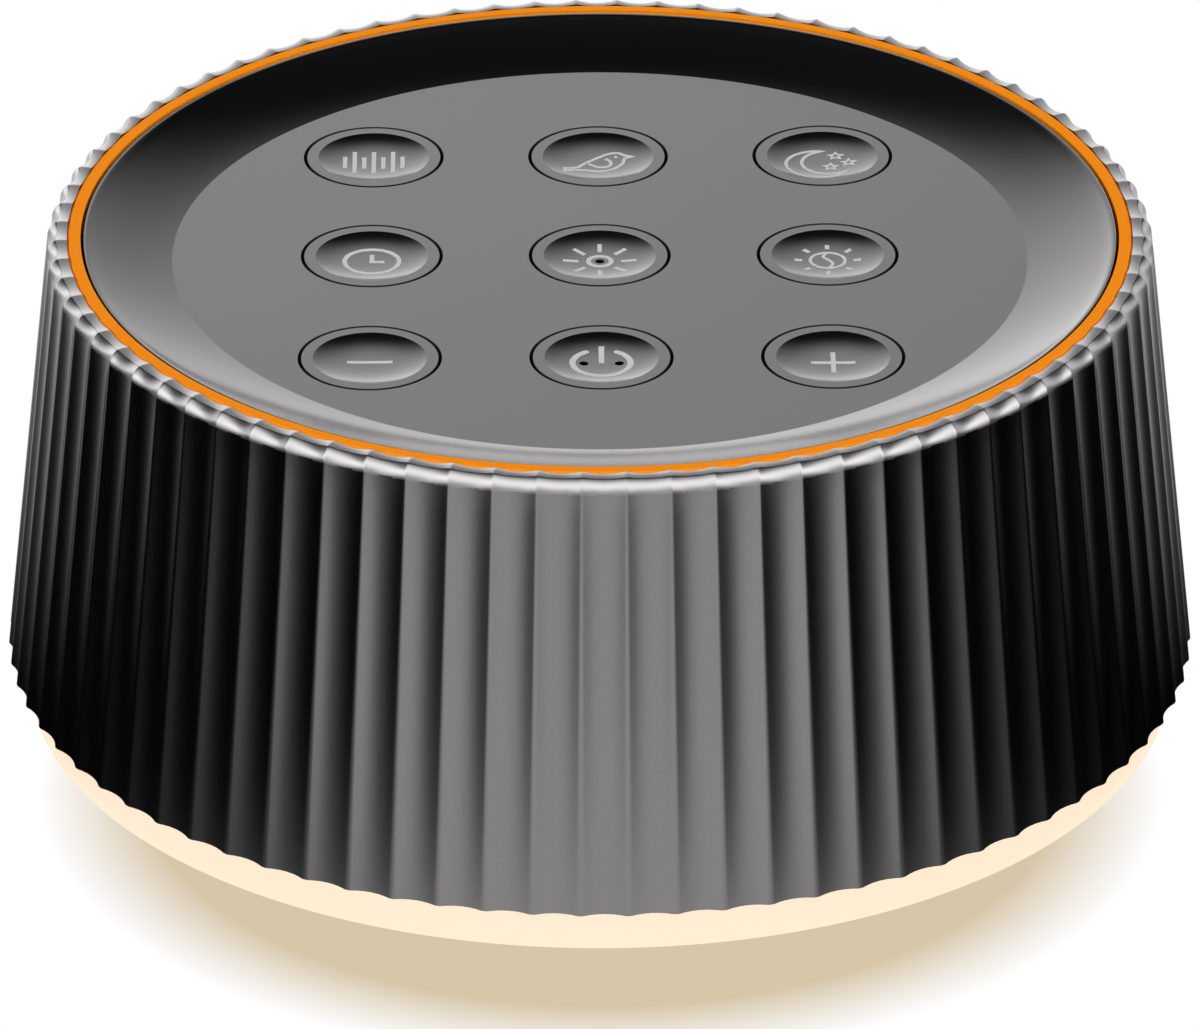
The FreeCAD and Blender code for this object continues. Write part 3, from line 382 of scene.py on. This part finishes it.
# The tree lays a grid round the half section. Nine columns span a flute's hollow, and the strip from
# one flute's last column to the next one's first is the ridge.
fluting = bpy.data.node_groups.new("fluted_casing", "GeometryNodeTree")
for name, kind, default in [
    ("Half Section", "NodeSocketGeometry", None), ("Flute Count", "NodeSocketInt", flute_count),
    ("Flute Depth", "NodeSocketFloat", flute_depth), ("Flute Width", "NodeSocketFloat", flute_width),
    ("Wide Radius", "NodeSocketFloat", casing_radius / 1000), ("Finish", "NodeSocketMaterial", None),
]:
    made = fluting.interface.new_socket(name, in_out="INPUT", socket_type=kind)
    if default is not None:
        made.default_value = default
fluting.interface.new_socket("Casing", in_out="OUTPUT", socket_type="NodeSocketGeometry")
given = add(fluting, "NodeGroupInput").outputs
columns = 9
rows = add(fluting, "GeometryNodeAttributeDomainSize", {0: given["Half Section"]}).outputs["Point Count"]


def sum_of(kind, first, second=0.0, third=0.0):
    return sum_in(fluting, kind, first, second, third)


all_columns = sum_of("MULTIPLY", given["Flute Count"], columns)
grid = add(fluting, "GeometryNodeMeshGrid", {"Size X": 1.0, "Size Y": 1.0,
                                             "Vertices X": sum_of("ADD", all_columns, 1.0),
                                             "Vertices Y": sum_of("ADD", rows, 1.0)})
index = add(fluting, "GeometryNodeInputIndex").outputs[0]
deep = sum_of("ADD", rows, 1.0)
column = sum_of("FLOOR", sum_of("DIVIDE", sum_of("ADD", index, 0.5), deep))
row_here = sum_of("SUBTRACT", index, sum_of("MULTIPLY", column, deep))
row = sum_of("MODULO", row_here, rows)
flute = sum_of("FLOOR", sum_of("DIVIDE", sum_of("ADD", column, 0.5), columns))
within = sum_of("SUBTRACT", column, sum_of("MULTIPLY", flute, columns))
even = sum_of("SUBTRACT", sum_of("DIVIDE", within, (columns - 1) / 2), 1.0)
# Columns crowd towards the ridges, where the surface turns most.
share = sum_of("SINE", sum_of("MULTIPLY", even, math.pi / 2))
place = add(fluting, "GeometryNodeSampleIndex", {
    "Geometry": given["Half Section"], "Value": add(fluting, "GeometryNodeInputPosition").outputs[0],
    "Index": row}, data_type="FLOAT_VECTOR")
shift = add(fluting, "GeometryNodeSampleIndex", {
    "Geometry": given["Half Section"], "Index": row,
    "Value": add(fluting, "GeometryNodeInputNamedAttribute", {"Name": "flute_shift"},
                 data_type="FLOAT_VECTOR").outputs[0],
}, data_type="FLOAT_VECTOR")
here = add(fluting, "ShaderNodeSeparateXYZ", {0: place.outputs[0]})
shifted = add(fluting, "ShaderNodeSeparateXYZ", {0: shift.outputs[0]})
radius = here.outputs["X"]
half_pitch = sum_of("DIVIDE", math.pi, given["Flute Count"])
half_flute = sum_of("DIVIDE", given["Flute Width"], 2.0)
half_width = sum_of("MINIMUM", half_flute, sum_of("MULTIPLY", radius, half_pitch))
aside = sum_of("MULTIPLY", share, half_width)
# The cutter's radius follows from a flute's depth and width on the widest ridge circle.
bend = sum_of("DIVIDE", 1.0, sum_of(
    "SUBTRACT",
    sum_of("DIVIDE", sum_of("MULTIPLY", given["Flute Depth"], 2.0),
           sum_of("MULTIPLY", half_flute, half_flute)),
    sum_of("DIVIDE", 1.0, given["Wide Radius"])))
aside_square = sum_of("MULTIPLY", aside, aside)
hollow_rise = sum_of("SUBTRACT", bend, sum_of("SQRT", sum_of(
    "SUBTRACT", sum_of("MULTIPLY", bend, bend), aside_square)))
round_fall = sum_of("SUBTRACT", radius, sum_of("SQRT", sum_of(
    "SUBTRACT", sum_of("MULTIPLY", radius, radius), aside_square)))
depth = sum_of("SUBTRACT", sum_of("SUBTRACT", given["Flute Depth"], hollow_rise),
               sum_of("MULTIPLY", round_fall, shifted.outputs["X"]))
taken = sum_of("MAXIMUM", depth, 0.0)
angle = sum_of("ADD", sum_of("MULTIPLY", sum_of("ADD", sum_of("MULTIPLY", flute, 2.0), 1.0), half_pitch),
               sum_of("ARCSINE", sum_of("DIVIDE", aside, radius)))
# A flute lies across the front, at -Y, so the count starts there.
angle = sum_of("SUBTRACT", angle, sum_of("ADD", half_pitch, math.pi / 2))
kept_radius = sum_of("SUBTRACT", radius, sum_of("MULTIPLY", taken, shifted.outputs["X"]))
kept_height = sum_of("SUBTRACT", here.outputs["Z"], sum_of("MULTIPLY", taken, shifted.outputs["Z"]))
spot = add(fluting, "ShaderNodeCombineXYZ", {
    "X": sum_of("MULTIPLY", kept_radius, sum_of("COSINE", angle)),
    "Y": sum_of("MULTIPLY", kept_radius, sum_of("SINE", angle)), "Z": kept_height})
laid = add(fluting, "GeometryNodeSetPosition", {
    "Geometry": grid.outputs["Mesh"], "Position": spot.outputs[0]})
# The grid's first and last rows and columns fall on each other and are joined.
closed = add(fluting, "GeometryNodeMergeByDistance", {"Geometry": laid.outputs[0], "Distance": 0.000002})
real = add(fluting, "GeometryNodeRealizeInstances", {"Geometry": closed.outputs[0]})
painted = add(fluting, "GeometryNodeSetMaterial", {
    "Geometry": real.outputs[0], "Material": given["Finish"]})
add(fluting, "NodeGroupOutput", {0: painted.outputs[0]})


def grown(name, source, tree, settings):
    """The plain mesh that a geometry tree makes of a source mesh, its inputs set by their names."""
    holder = bpy.data.objects.new(name, source)
    bpy.context.scene.collection.objects.link(holder)
    growing = holder.modifiers.new("grow", "NODES")
    growing.node_group = tree
    sockets = {item.name: item.identifier for item in tree.interface.items_tree if item.in_out == "INPUT"}
    for setting, level in settings.items():
        growing[sockets[setting]] = level
    seen_now = holder.evaluated_get(bpy.context.evaluated_depsgraph_get())
    mesh = bpy.data.meshes.new_from_object(seen_now)
    bpy.data.objects.remove(holder)
    mesh.name = name
    return mesh


casing_mesh = grown("casing_moulding", section_mesh, fluting, {
    "Flute Count": flute_count, "Flute Depth": flute_depth, "Flute Width": flute_width,
    "Wide Radius": casing_radius / 1000, "Finish": metallic_paint})
work = bmesh.new()
work.from_mesh(casing_mesh)
bmesh.ops.dissolve_degenerate(work, dist=1e-7, edges=work.edges)
bmesh.ops.recalc_face_normals(work, faces=work.faces)
work.to_mesh(casing_mesh)
work.free()


def slot_bar(wide, tall, corner, middle_z, first_y, last_y):
    """A bar along Y with rounded edges, in millimetres, for cutting a slot."""
    work = bmesh.new()
    rings = []
    corner_steps = 6
    for y in (first_y, last_y):
        ring = []
        for number, (side, up) in enumerate(((1, 1), (-1, 1), (-1, -1), (1, -1))):
            for step in range(corner_steps + 1):
                turn = math.pi / 2 * (number + step / corner_steps)
                x = side * (wide / 2 - corner) + corner * math.cos(turn)
                z = middle_z + up * (tall / 2 - corner) + corner * math.sin(turn)
                ring.append(work.verts.new((x / 1000, y / 1000, z / 1000)))
        rings.append(ring)
    for ring in rings:
        work.faces.new(ring)
    for step in range(len(rings[0])):
        beside = (step + 1) % len(rings[0])
        work.faces.new((rings[0][step], rings[0][beside], rings[1][beside], rings[1][step]))
    bmesh.ops.recalc_face_normals(work, faces=work.faces)
    bar = bpy.data.meshes.new("slot_bar")
    work.to_mesh(bar)
    work.free()
    return bar


# The plug's opening, low at the rear.
plug_opening = slot_bar(wide=13.2, tall=7.4, corner=3.0, middle_z=15.23, first_y=47, last_y=60)
casing_mesh = cut(casing_mesh, [plug_opening])
crisp(casing_mesh, 50)
# Spray builds up on the rim, so its turn is duller than the wall and its flat land duller still. Both are
# also paler than the wall's paint, a little on the turn and much on the land: a painted highlight.
dull_paint_with_painted_highlight = surface("softly_sprayed_grey_paint", "959394", 0.3, metallic=1.0, grain=0.12, tint=0.1,
                     gloss=0.03, relief=0.0004)
pale_painted_highlight_paint = surface("thickly_sprayed_grey_paint", "E6E4E4", 0.45, metallic=1.0, grain=0.12, tint=0.08,
                      gloss=0.04, relief=0.0005)
thing("fluted_casing", casing_mesh, stands_for=["fluted_shell"], finish=metallic_paint)
casing_mesh.materials.append(dull_paint_with_painted_highlight)
casing_mesh.materials.append(pale_painted_highlight_paint)
turn_foot = wall_top - 0.1
land_foot = casing_top - 0.42
# The turn's faces take the duller, slightly paler paint, and the land's faces the pale one: the painted
# highlight.
for face in casing_mesh.polygons:
    away = math.hypot(face.center.x, face.center.y) * 1000
    up = face.center.z * 1000
    if up > turn_foot and away > lip_r:
        face.material_index = 2 if up > land_foot and face.normal.z > 0.93 else 1


# Accent ring: a plain band of orange ABS, satin from its mould. It stands on the casing's ledge in a
# thin gap between the casing's lip and the top panel.
ring_gap = 0.05
ring_width = 1.3
ring_round = 0.1
ring_out = lip_r - ring_gap
ring_in = ring_out - ring_width
ring_top = casing_top - 0.15
orange_plastic = surface("satin_orange_abs", "E68306", 0.5, grain=0.25, tint=0.05, relief=0.001,
                         more={"Specular IOR Level": 0.03})
# Two points near the top's edges keep the shading of the flat between them level.
ring_mesh = spun("orange_band", softened([
    (ring_out, ledge_z), (ring_out, ring_top, ring_round), (ring_out - 0.15, ring_top),
    (ring_in + 0.15, ring_top), (ring_in, ring_top, ring_round), (ring_in, ledge_z),
]), 320)
crisp(ring_mesh)
thing("orange_band", ring_mesh, stands_for=["accent_ring"], finish=orange_plastic)


# Top panel: a moulded dish, flat in the middle and climbing to the orange band, sprayed with the
# casing's paint. Each button stands in a hole of its own, with a hair's gap round it.
panel_gap = 0.18
panel_top = casing_top - 0.3
panel_wall = 1.8
panel_rim = 1.2
dish_width = 8.05
dish_bend = 44.0
disc_z = casing_top - 2.7
panel_r = ring_in - panel_gap
disc_r = panel_r - dish_width
# The corner buttons' middles lie this far inside the flat disc's edge.
button_inset = 9.64
pitch = (disc_r - button_inset) / math.sqrt(2)
button_names = ["sound", "bird", "moon", "timer", "light", "colour", "minus", "power", "plus"]
button_spots = [(column * pitch, line * pitch) for line in (1, 0, -1) for column in (-1, 0, 1)]
chord = math.hypot(panel_r - disc_r, panel_top - disc_z)
chord_lean = math.atan2(panel_top - disc_z, panel_r - disc_r)
half_bend = math.asin(chord / 2 / dish_bend)
start = chord_lean - half_bend
bowl = []
bowl_steps = 32
# The last millimetre and a half curls up by 0.08 mm, nearly to the orange band's level.
curl_width = 1.5
curl_rise = 0.08
for step in range(bowl_steps + 1):
    lean = chord_lean + half_bend * (1 - 2 * step / bowl_steps)
    radius = disc_r + dish_bend * (math.sin(lean) - math.sin(start))
    curl = curl_rise * max(0, (radius - panel_r + curl_width) / curl_width) ** 2
    bowl.append((radius, disc_z - dish_bend * (math.cos(lean) - math.cos(start)) + curl))
panel_outline = softened([
    (0, disc_z), (0, disc_z - panel_wall), (disc_r, disc_z - panel_wall, 0.5),
    (panel_r - panel_rim, panel_top - panel_wall, 0.5), (panel_r - panel_rim, ledge_z), (panel_r, ledge_z),
    (panel_r, bowl[0][1], 0.04), *bowl[1:],
])


def together(name, meshes):
    """Several meshes as one."""
    work = bmesh.new()
    for mesh in meshes:
        work.from_mesh(mesh)
    joined = bpy.data.meshes.new(name)
    work.to_mesh(joined)
    work.free()
    return joined


def tube(outer, inner, low, high, centre):
    return spun("tube", [(inner, low), (inner, high), (outer, high), (outer, low)], 32, centre)


# Each hole widens by a hair at its top.
hole_r = 6.5
hole_outline = [(0, 42.5), (hole_r, 42.5), (hole_r, disc_z - 0.02), (hole_r + 0.04, disc_z + 0.02),
                (0, disc_z + 0.02)]
hole_cutters = [spun("button_hole", hole_outline, 96, centre) for centre in button_spots]
panel_mesh = cut(spun("top_panel_moulding", panel_outline, 256), [together("button_holes", hole_cutters)])
# Screw bosses under the panel: four for the button board and four on the casing's ledge.
pilot_r = 1.15
screw_spots = [(across * pitch / 2, along * pitch / 2) for across in (-1, 1) for along in (-1, 1)]
bosses = [tube(2.5, pilot_r, 36.35, disc_z - panel_wall + 0.1, centre) for centre in screw_spots]
boss_ring = panel_r - panel_rim - 1.7
bosses += [tube(2.2, pilot_r, ledge_z, 45.4, (boss_ring * math.cos(turn), boss_ring * math.sin(turn)))
           for turn in (0, math.pi / 2, math.pi, 3 * math.pi / 2)]
panel_mesh = together("top_panel_moulding", [panel_mesh, *bosses])
crisp(panel_mesh)
work = bmesh.new()
work.from_mesh(panel_mesh)
for edge in work.edges:
    # The flat disc ends in a crisp line where the dish begins to climb.
    if all(abs(math.hypot(vert.co.x, vert.co.y) * 1000 - disc_r) < 0.02 for vert in edge.verts):
        edge.smooth = False
work.to_mesh(panel_mesh)
work.free()
thing("dished_panel", panel_mesh, stands_for=["top_panel"], finish=metallic_paint)
# The walls of the gaps round the buttons are painted near black: painted shade between the parts.
painted_gap_shade = surface("bare_black_abs_in_the_gaps", "080808", 0.7)


def shade_gap_walls(mesh, radius, centres):
    """Gives the upright faces at a radius round the middles a near black finish, painted shade: the gap is a
    black line.
    """
    mesh.materials.append(painted_gap_shade)
    for face in mesh.polygons:
        near = min(math.hypot(face.center.x * 1000 - x, face.center.y * 1000 - y) for x, y in centres)
        upright = abs(face.normal.z) < 0.9
        if abs(near - radius) < 0.035 and upright and face.center.z * 1000 > 43:
            face.material_index = 1


shade_gap_walls(panel_mesh, hole_r, button_spots)


# Button caps: nine hollow mouldings with a finger dish each, painted like the panel. A flange under
# the panel holds each one in, and a stem in its middle stands on the switch.
cap_r = 6.22
flange_width = 0.93
flange_top, flange_foot = 43.15, 42.15
hollow_top = 43.25
stem_r, stem_foot = 1.2, 41.35
dish_r = 5.15
dish_depth = 0.46
dish_steepness = 3


def dish_height(from_middle):
    """Height in millimetres of a finger dish, nearly flat in the middle and steepest at its edge."""
    return disc_z - dish_depth * (1 - (from_middle / dish_r) ** dish_steepness)


dish_steps = 20
cap_outline = softened([
    *[(dish_r * step / dish_steps, dish_height(dish_r * step / dish_steps)) for step in range(dish_steps)],
    (dish_r, disc_z), (cap_r, disc_z, 0.03), (cap_r, flange_top), (cap_r + flange_width, flange_top, 0.1),
    (cap_r + flange_width, flange_foot, 0.1), (cap_r - 1, flange_foot), (cap_r - 1, hollow_top),
    (stem_r, hollow_top), (stem_r, stem_foot), (0, stem_foot),
])
# The signs and the pinholes over the indicator lights sit a little in front of each cap's middle.
sign_shift = -0.38
pinhole_r = 0.42
pinhole_outline = [(0, 42.5), (pinhole_r, 42.5), (pinhole_r, 45.5), (0, 45.5)]
pinholes = {"power": [(-1.6, 0), (1.6, 0)], "light": [(0, 0)]}
for name, centre in zip(button_names, button_spots):
    cap_mesh = spun(f"cap_{name}", cap_outline, 112, centre)
    drills = [spun("drill", pinhole_outline, 24, (centre[0] + x, centre[1] + y + sign_shift))
              for x, y in pinholes.get(name, [])]
    if drills:
        cap_mesh = cut(cap_mesh, [together("drills", drills)])
    crisp(cap_mesh, 12)
    thing(f"cap_{name}", cap_mesh, f"button_{name}", [f"button_{name}"], metallic_paint)
    shade_gap_walls(cap_mesh, cap_r, [centre])


# Printed signs: pale grey ink pad printed into each dish. Each is drawn as strokes on the flat and
# laid on the dish. The ink is 0.05 mm thick and stands 0.03 mm proud.
pale_ink = surface("pale_grey_printing_ink", "BEBCBC", 0.5, grain=0.15, tint=0.04)
ink_thickness = 0.05
ink_rise = 0.03


def smooth_run(points, steps=6):
    """A flowing line through the points."""
    line = []
    last = len(points) - 1
    for number in range(last):
        ends = (max(number - 1, 0), number, number + 1, min(number + 2, last))
        a, b, c, d = (Vector(points[end]) for end in ends)
        for step in range(steps):
            t = step / steps
            line.append(0.5 * (2 * b + (c - a) * t + (2 * a - 5 * b + 4 * c - d) * t * t
                               + (3 * b - a - 3 * c + d) * t ** 3))
    line.append(Vector(points[-1]))
    return line


def arc(radius, first, last, centre=(0, 0), steps=40):
    """Points along an arc, from one turn to another in degrees."""
    turns = [math.radians(first + (last - first) * step / steps) for step in range(steps + 1)]
    return [(centre[0] + radius * math.cos(turn), centre[1] + radius * math.sin(turn)) for turn in turns]


def divided(points, longest=0.35):
    """The same line with more points, none further apart than the longest step."""
    line = [Vector(points[0])]
    for start, end in zip(points, points[1:]):
        start, end = Vector(start), Vector(end)
        count = max(1, math.ceil((end - start).length / longest))
        line += [start.lerp(end, step / count) for step in range(1, count + 1)]
    return line


def stroke(work, points, width, centre, closed=False, round_ends=False):
    """Adds a line of ink so many millimetres wide, laid on the dish of the button at the centre."""
    line = divided(list(points) + ([points[0]] if closed else []))
    if closed:
        line.pop()
    count = len(line)

    def vert(spot):
        spot = spot + Vector((0, sign_shift))
        height = dish_height(spot.length) + ink_rise
        return work.verts.new(((centre[0] + spot.x) / 1000, (centre[1] + spot.y) / 1000, height / 1000))

    pairs = []
    for number, here in enumerate(line):
        before = line[number - 1] if closed or number else here
        after = line[(number + 1) % count] if closed or number < count - 1 else here
        into = (here - before).normalized() if (here - before).length > 1e-9 else (after - here).normalized()
        out = (after - here).normalized() if (after - here).length > 1e-9 else into
        middle = (into + out).normalized()
        aside = Vector((-middle.y, middle.x))
        reach = width / 2 / max(0.5, middle.dot(into))
        pairs.append((vert(here + aside * reach), vert(here - aside * reach)))
    for number in range(count if closed else count - 1):
        a, b = pairs[number], pairs[(number + 1) % count]
        work.faces.new((a[0], a[1], b[1], b[0]))
    if round_ends:
        for end, inner in ((0, 1), (count - 1, count - 2)):
            outward = (line[end] - line[inner]).normalized()
            first = math.atan2(outward.y, outward.x)
            turns = [first + math.pi * (0.5 - step / 8) for step in range(1, 8)]
            bow = [vert(line[end] + Vector((math.cos(turn), math.sin(turn))) * width / 2) for turn in turns]
            left, right = pairs[end]
            sides = (left, right) if end else (right, left)
            work.faces.new([sides[0], *bow, sides[1]])


def star(x, y, size):
    """The outline of a five pointed star."""
    turns = [math.radians(90 + 36 * step) for step in range(10)]
    reach = [size, size * 0.45] * 5
    return [(x + r * math.cos(turn), y + r * math.sin(turn)) for turn, r in zip(turns, reach)]


def rays(inner, outer, count):
    """Short lines that point away from the middle, all round."""
    turns = [2 * math.pi * step / count for step in range(count)]
    return [[(reach * math.cos(turn), reach * math.sin(turn)) for reach in (inner, outer)] for turn in turns]


# The moon is a round of 3.0 mm with a round of 2.52 mm taken out of it, whose middle lies 1.12 mm
# towards the moon's turn. Their outlines cross 1.742 mm along that way and 2.442 mm to each side.
moon_middle = Vector((-0.4, -0.8))
moon_turn = 27.5
moon_way = Vector((math.cos(math.radians(moon_turn)), math.sin(math.radians(moon_turn))))
tips_away = math.degrees(math.atan2(2.442, 1.742 - 1.12))
inner_middle = moon_middle + 1.12 * moon_way
crescent = arc(3.0, moon_turn + 54.5, moon_turn + 305.5, moon_middle)
crescent += arc(2.52, moon_turn - tips_away, moon_turn - 360 + tips_away, inner_middle)[1:-1]
songbird = [
    *smooth_run([(-3.1, -1.5), (-1.9, -1.1), (-1.2, -0.2), (-0.1, 0.9), (0.9, 1.7), (1.8, 1.9),
                 (2.45, 1.35)]),
    (3.15, 1.0), (2.5, 0.75),
    *smooth_run([(2.45, 0.55), (2.2, -0.5), (1.3, -1.6), (0.1, -2.0), (-1.2, -1.75), (-2.2, -1.75),
                 (-3.1, -2.2)]),
]
wing = smooth_run([(-0.9, -0.35), (0.1, -1.05), (1.05, -0.8), (1.15, 0.1), (0.7, 0.75)])
# Each sign's strokes: the line, its width and whether it closes.
signs = {
    "sound": [([(0.89 * step, -tall), (0.89 * step, tall)], 0.4, False)
              for step, tall in zip(range(-3, 4), (1.2, 2.25) * 4)],
    "bird": [(songbird, 0.32, True), (wing, 0.32, False), ([(1.5, 1.12), (1.78, 1.12)], 0.3, False)],
    "moon": [(crescent, 0.32, True)] + [(star(x, y, 0.68), 0.2, True)
                                        for x, y in ((1.25, 1.2), (2.45, -0.25), (0.75, -1.1))],
    "timer": [(arc(2.5, 0, 351), 0.42, True), ([(0, 1.45), (0, 0), (1.15, 0)], 0.42, False)],
    "light": [(arc(1.05, 0, 351), 0.42, True)] + [(ray, 0.4, False) for ray in rays(1.95, 3.35, 8)],
    "colour": [(arc(1.6, 0, 351), 0.3, True),
               (smooth_run([(-0.15, 1.45), (-0.4, 0.75), (0.1, 0.1), (0.45, -0.65), (0.15, -1.45)]),
                0.3, False)]
              + [(ray, 0.4, False) for ray in rays(2.35, 3.05, 8)],
    "minus": [([(-2.05, 0.4), (2.05, 0.4)], 0.45, False)],
    "power": [(arc(2.62, 122, 418), 0.55, False), ([(0, 0.1), (0, 3.25)], 0.5, False)],
    "plus": [([(-2.0, 0), (-0.22, 0)], 0.44, False), ([(0.22, 0), (2.0, 0)], 0.44, False),
             ([(0, -2.0), (0, 2.0)], 0.44, False)],
}
for name, centre in zip(button_names, button_spots):
    work = bmesh.new()
    for points, width, closed in signs[name]:
        stroke(work, points, width, centre, closed, round_ends=name == "power" and len(points) > 3)
    work.normal_update()
    for face in work.faces:
        if face.normal.z < 0:
            face.normal_flip()
    sign_mesh = bpy.data.meshes.new(f"sign_{name}")
    work.to_mesh(sign_mesh)
    work.free()
    sign = thing(f"sign_{name}", sign_mesh, f"button_{name}", finish=pale_ink)
    coat = sign.modifiers.new("ink", "SOLIDIFY")
    coat.thickness = ink_thickness / 1000
    coat.offset = -1


# Night light ring: milky polycarbonate, a little wider at its top, that stands under the casing and
# glows warm white from the diodes behind it.
night_light = linear("FEE8CF")
warm_white = surface("lit_milky_polycarbonate", "4A4234", 0.5, grain=1.5, tint=0.01, more={
    "Emission Color": night_light, "Emission Strength": 0.95, "Specular IOR Level": 0.1})
glow_mesh = spun("glowing_ring", softened([
    (53.2, 2.0, 0.25), (54.1, casing_foot), (52.2, casing_foot), (51.914, 9.0), (50.7, 9.0), (50.7, 5.5),
    (47.6, 5.5), (47.6, 4.2), (51.4, 4.2), (51.4, 2.0),
]), 256)
crisp(glow_mesh)
thing("glowing_ring", glow_mesh, stands_for=["light_diffuser"], finish=warm_white)


# Feet: four soft silicone pads glued into the base cover over its screws, milky. Their warm glow is painted
# light: an emission in the light ring's colour stands in for the ring's light inside them.
foot_x, foot_y = 27.03, 34.59
# The emission is a painted glow; the feet hold no lamp.
milky_silicone = surface("milky_silicone", "6A5E4A", 0.6, grain=0.8, tint=0.02, relief=0.002, more={
    "Emission Color": night_light, "Emission Strength": 0.88, "Specular IOR Level": 0.1})
foot_r, foot_height = 6.5, 3.0
foot_mesh = spun("foot", softened([
    (0, 0), (foot_r, 0, 0.9), (foot_r, foot_height, 0.2), (0, foot_height)]), 64)
crisp(foot_mesh, 40)
one_foot = bpy.data.objects.new("one_foot", foot_mesh)
spots_mesh = bpy.data.meshes.new("foot_spots")
spots_mesh.from_pydata([
    (x * foot_x / 1000, y * foot_y / 1000, 0) for x in (-1, 1) for y in (-1, 1)], [], [])
footing = bpy.data.node_groups.new("feet_on_spots", "GeometryNodeTree")
for name, kind in [
    ("Spots", "NodeSocketGeometry"), ("Foot", "NodeSocketObject"), ("Finish", "NodeSocketMaterial"),
]:
    footing.interface.new_socket(name, in_out="INPUT", socket_type=kind)
footing.interface.new_socket("Feet", in_out="OUTPUT", socket_type="NodeSocketGeometry")
given = add(footing, "NodeGroupInput").outputs
shape = add(footing, "GeometryNodeObjectInfo", {"Object": given["Foot"]})
stood = add(footing, "GeometryNodeInstanceOnPoints", {
    "Points": given["Spots"], "Instance": shape.outputs["Geometry"]})
real = add(footing, "GeometryNodeRealizeInstances", {"Geometry": stood.outputs[0]})
painted = add(footing, "GeometryNodeSetMaterial", {
    "Geometry": real.outputs[0], "Material": given["Finish"]})
add(footing, "NodeGroupOutput", {0: painted.outputs[0]})
feet_mesh = grown("silicone_feet", spots_mesh, footing, {"Foot": one_foot, "Finish": milky_silicone})
bpy.data.objects.remove(one_foot)
thing("silicone_feet", feet_mesh, stands_for=["rubber_feet"], finish=milky_silicone)


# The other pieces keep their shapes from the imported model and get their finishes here, from the
# base cover inwards: each is named for what the real piece is made of.
def finished(finish, *nodes):
    """Gives CAD nodes that show as they are a finish."""
    for node in nodes:
        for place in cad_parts[node].material_slots:
            place.material = finish


# Base cover: black ABS with the fine matt grain of a spark eroded mould, about 0.15 mm.
finished(surface("grained_black_abs", "1E1D1D", 0.62, grain=0.15, tint=0.15, relief=0.02), "base_cover")

# Screws and washers: zinc plated steel, a cool grey with a soft shine.
finished(surface("zinc_plated_steel", "B9BCBE", 0.32, metallic=1.0, grain=0.4, tint=0.08),
         "base_screws", "panel_screws", "button_board_screws", "main_board_screws", "speaker_screws",
         "speaker_washers")

# Power inlet shell and the loudspeaker's iron: nickel plated steel, brighter than zinc.
finished(surface("nickel_plated_steel", "C4C0B8", 0.22, metallic=1.0, grain=0.5, tint=0.05),
         "power_inlet_shell", "speaker_top_plate", "speaker_yoke")

# Loudspeaker magnet: sintered ferrite, dark grey and a little gritty.
finished(surface("sintered_ferrite", "3C3B3D", 0.7, grain=0.25, tint=0.2, relief=0.01), "speaker_magnet")

# Loudspeaker basket: pressed steel under black enamel.
finished(surface("black_enamelled_steel", "161616", 0.3, grain=1.2, tint=0.1, relief=0.002), "speaker_basket")

# Cone and dust cap: pressed paper pulp, with fibres about a millimetre long.
finished(surface("pressed_paper_pulp", "242220", 0.9, grain=0.6, tint=0.35, relief=0.02),
         "speaker_cone", "dust_cap")

# Surround: black rubber. Gasket: black foam with open cells.
finished(surface("black_rubber", "1B1B1C", 0.55, grain=0.5, tint=0.1, relief=0.003), "speaker_surround")
finished(surface("black_foam", "232323", 0.95, grain=0.35, tint=0.4, relief=0.06), "speaker_gasket")

# Voice coil: enamelled copper wire, wound on paper.
finished(surface("enamelled_copper_wire", "B5632E", 0.3, metallic=1.0, grain=0.15, tint=0.25, relief=0.02),
         "voice_coil")

# Spider: cotton cloth stiffened with amber resin.
finished(surface("resin_stiffened_cloth", "A9874A", 0.8, grain=0.25, tint=0.3, relief=0.03), "speaker_spider")

# Terminal strip: brown phenolic board.
finished(surface("phenolic_board", "6E4327", 0.5, grain=0.4, tint=0.2), "speaker_terminal")

# Circuit boards: glass laminate under green solder mask, and under white on the night light board.
finished(surface("green_solder_mask", "1E5C3A", 0.35, grain=1.4, tint=0.12, relief=0.003), "main_board",
         "button_board")
finished(surface("white_solder_mask", "E6E6E2", 0.4, grain=1.4, tint=0.02), "light_board")

# Light diodes: clear resin over yellow phosphor.
finished(surface("phosphor_resin", "E8CF6A", 0.2, grain=0.3, tint=0.08), "light_diodes", "indicator_diodes")

# Reflector ring: white polystyrene, glossy from its mould.
finished(surface("white_polystyrene", "ECECEA", 0.3, grain=1.0, tint=0.01), "reflector_ring")

# Switch bodies in black nylon, and plungers and sockets in white nylon.
finished(surface("black_nylon", "1F1F20", 0.5, grain=0.3, tint=0.1), "tact_switches")
finished(surface("white_nylon", "D9D6CC", 0.5, grain=0.5, tint=0.03),
         "main_ribbon_socket", "button_ribbon_socket", "speaker_lead_socket",
         *[f"switch_plunger_{name}" for name in button_names])

# Chips and the inlet's tongue: black epoxy. Capacitors: aluminium cans.
finished(surface("black_epoxy", "19191A", 0.6, grain=0.15, tint=0.12, relief=0.004), "processor_chip",
         "amplifier_chip", "power_inlet_tongue")
finished(surface("aluminium_can", "C9CACC", 0.25, metallic=1.0, grain=0.4, tint=0.04), "capacitors")

# Pins: gold plated brass.
finished(surface("gold_plated_brass", "D2AE5A", 0.25, metallic=1.0, grain=0.3, tint=0.05), "board_pins")

# Ribbon cable and speaker leads: PVC insulation, grey, red and black.
finished(surface("grey_pvc_ribbon", "9A9A9C", 0.5, grain=0.8, tint=0.06), "ribbon_cable")
finished(surface("red_pvc", "A81E1A", 0.4, grain=0.8, tint=0.06), "speaker_lead_red")
finished(surface("black_pvc", "1C1C1C", 0.4, grain=0.8, tint=0.1), "speaker_lead_black")
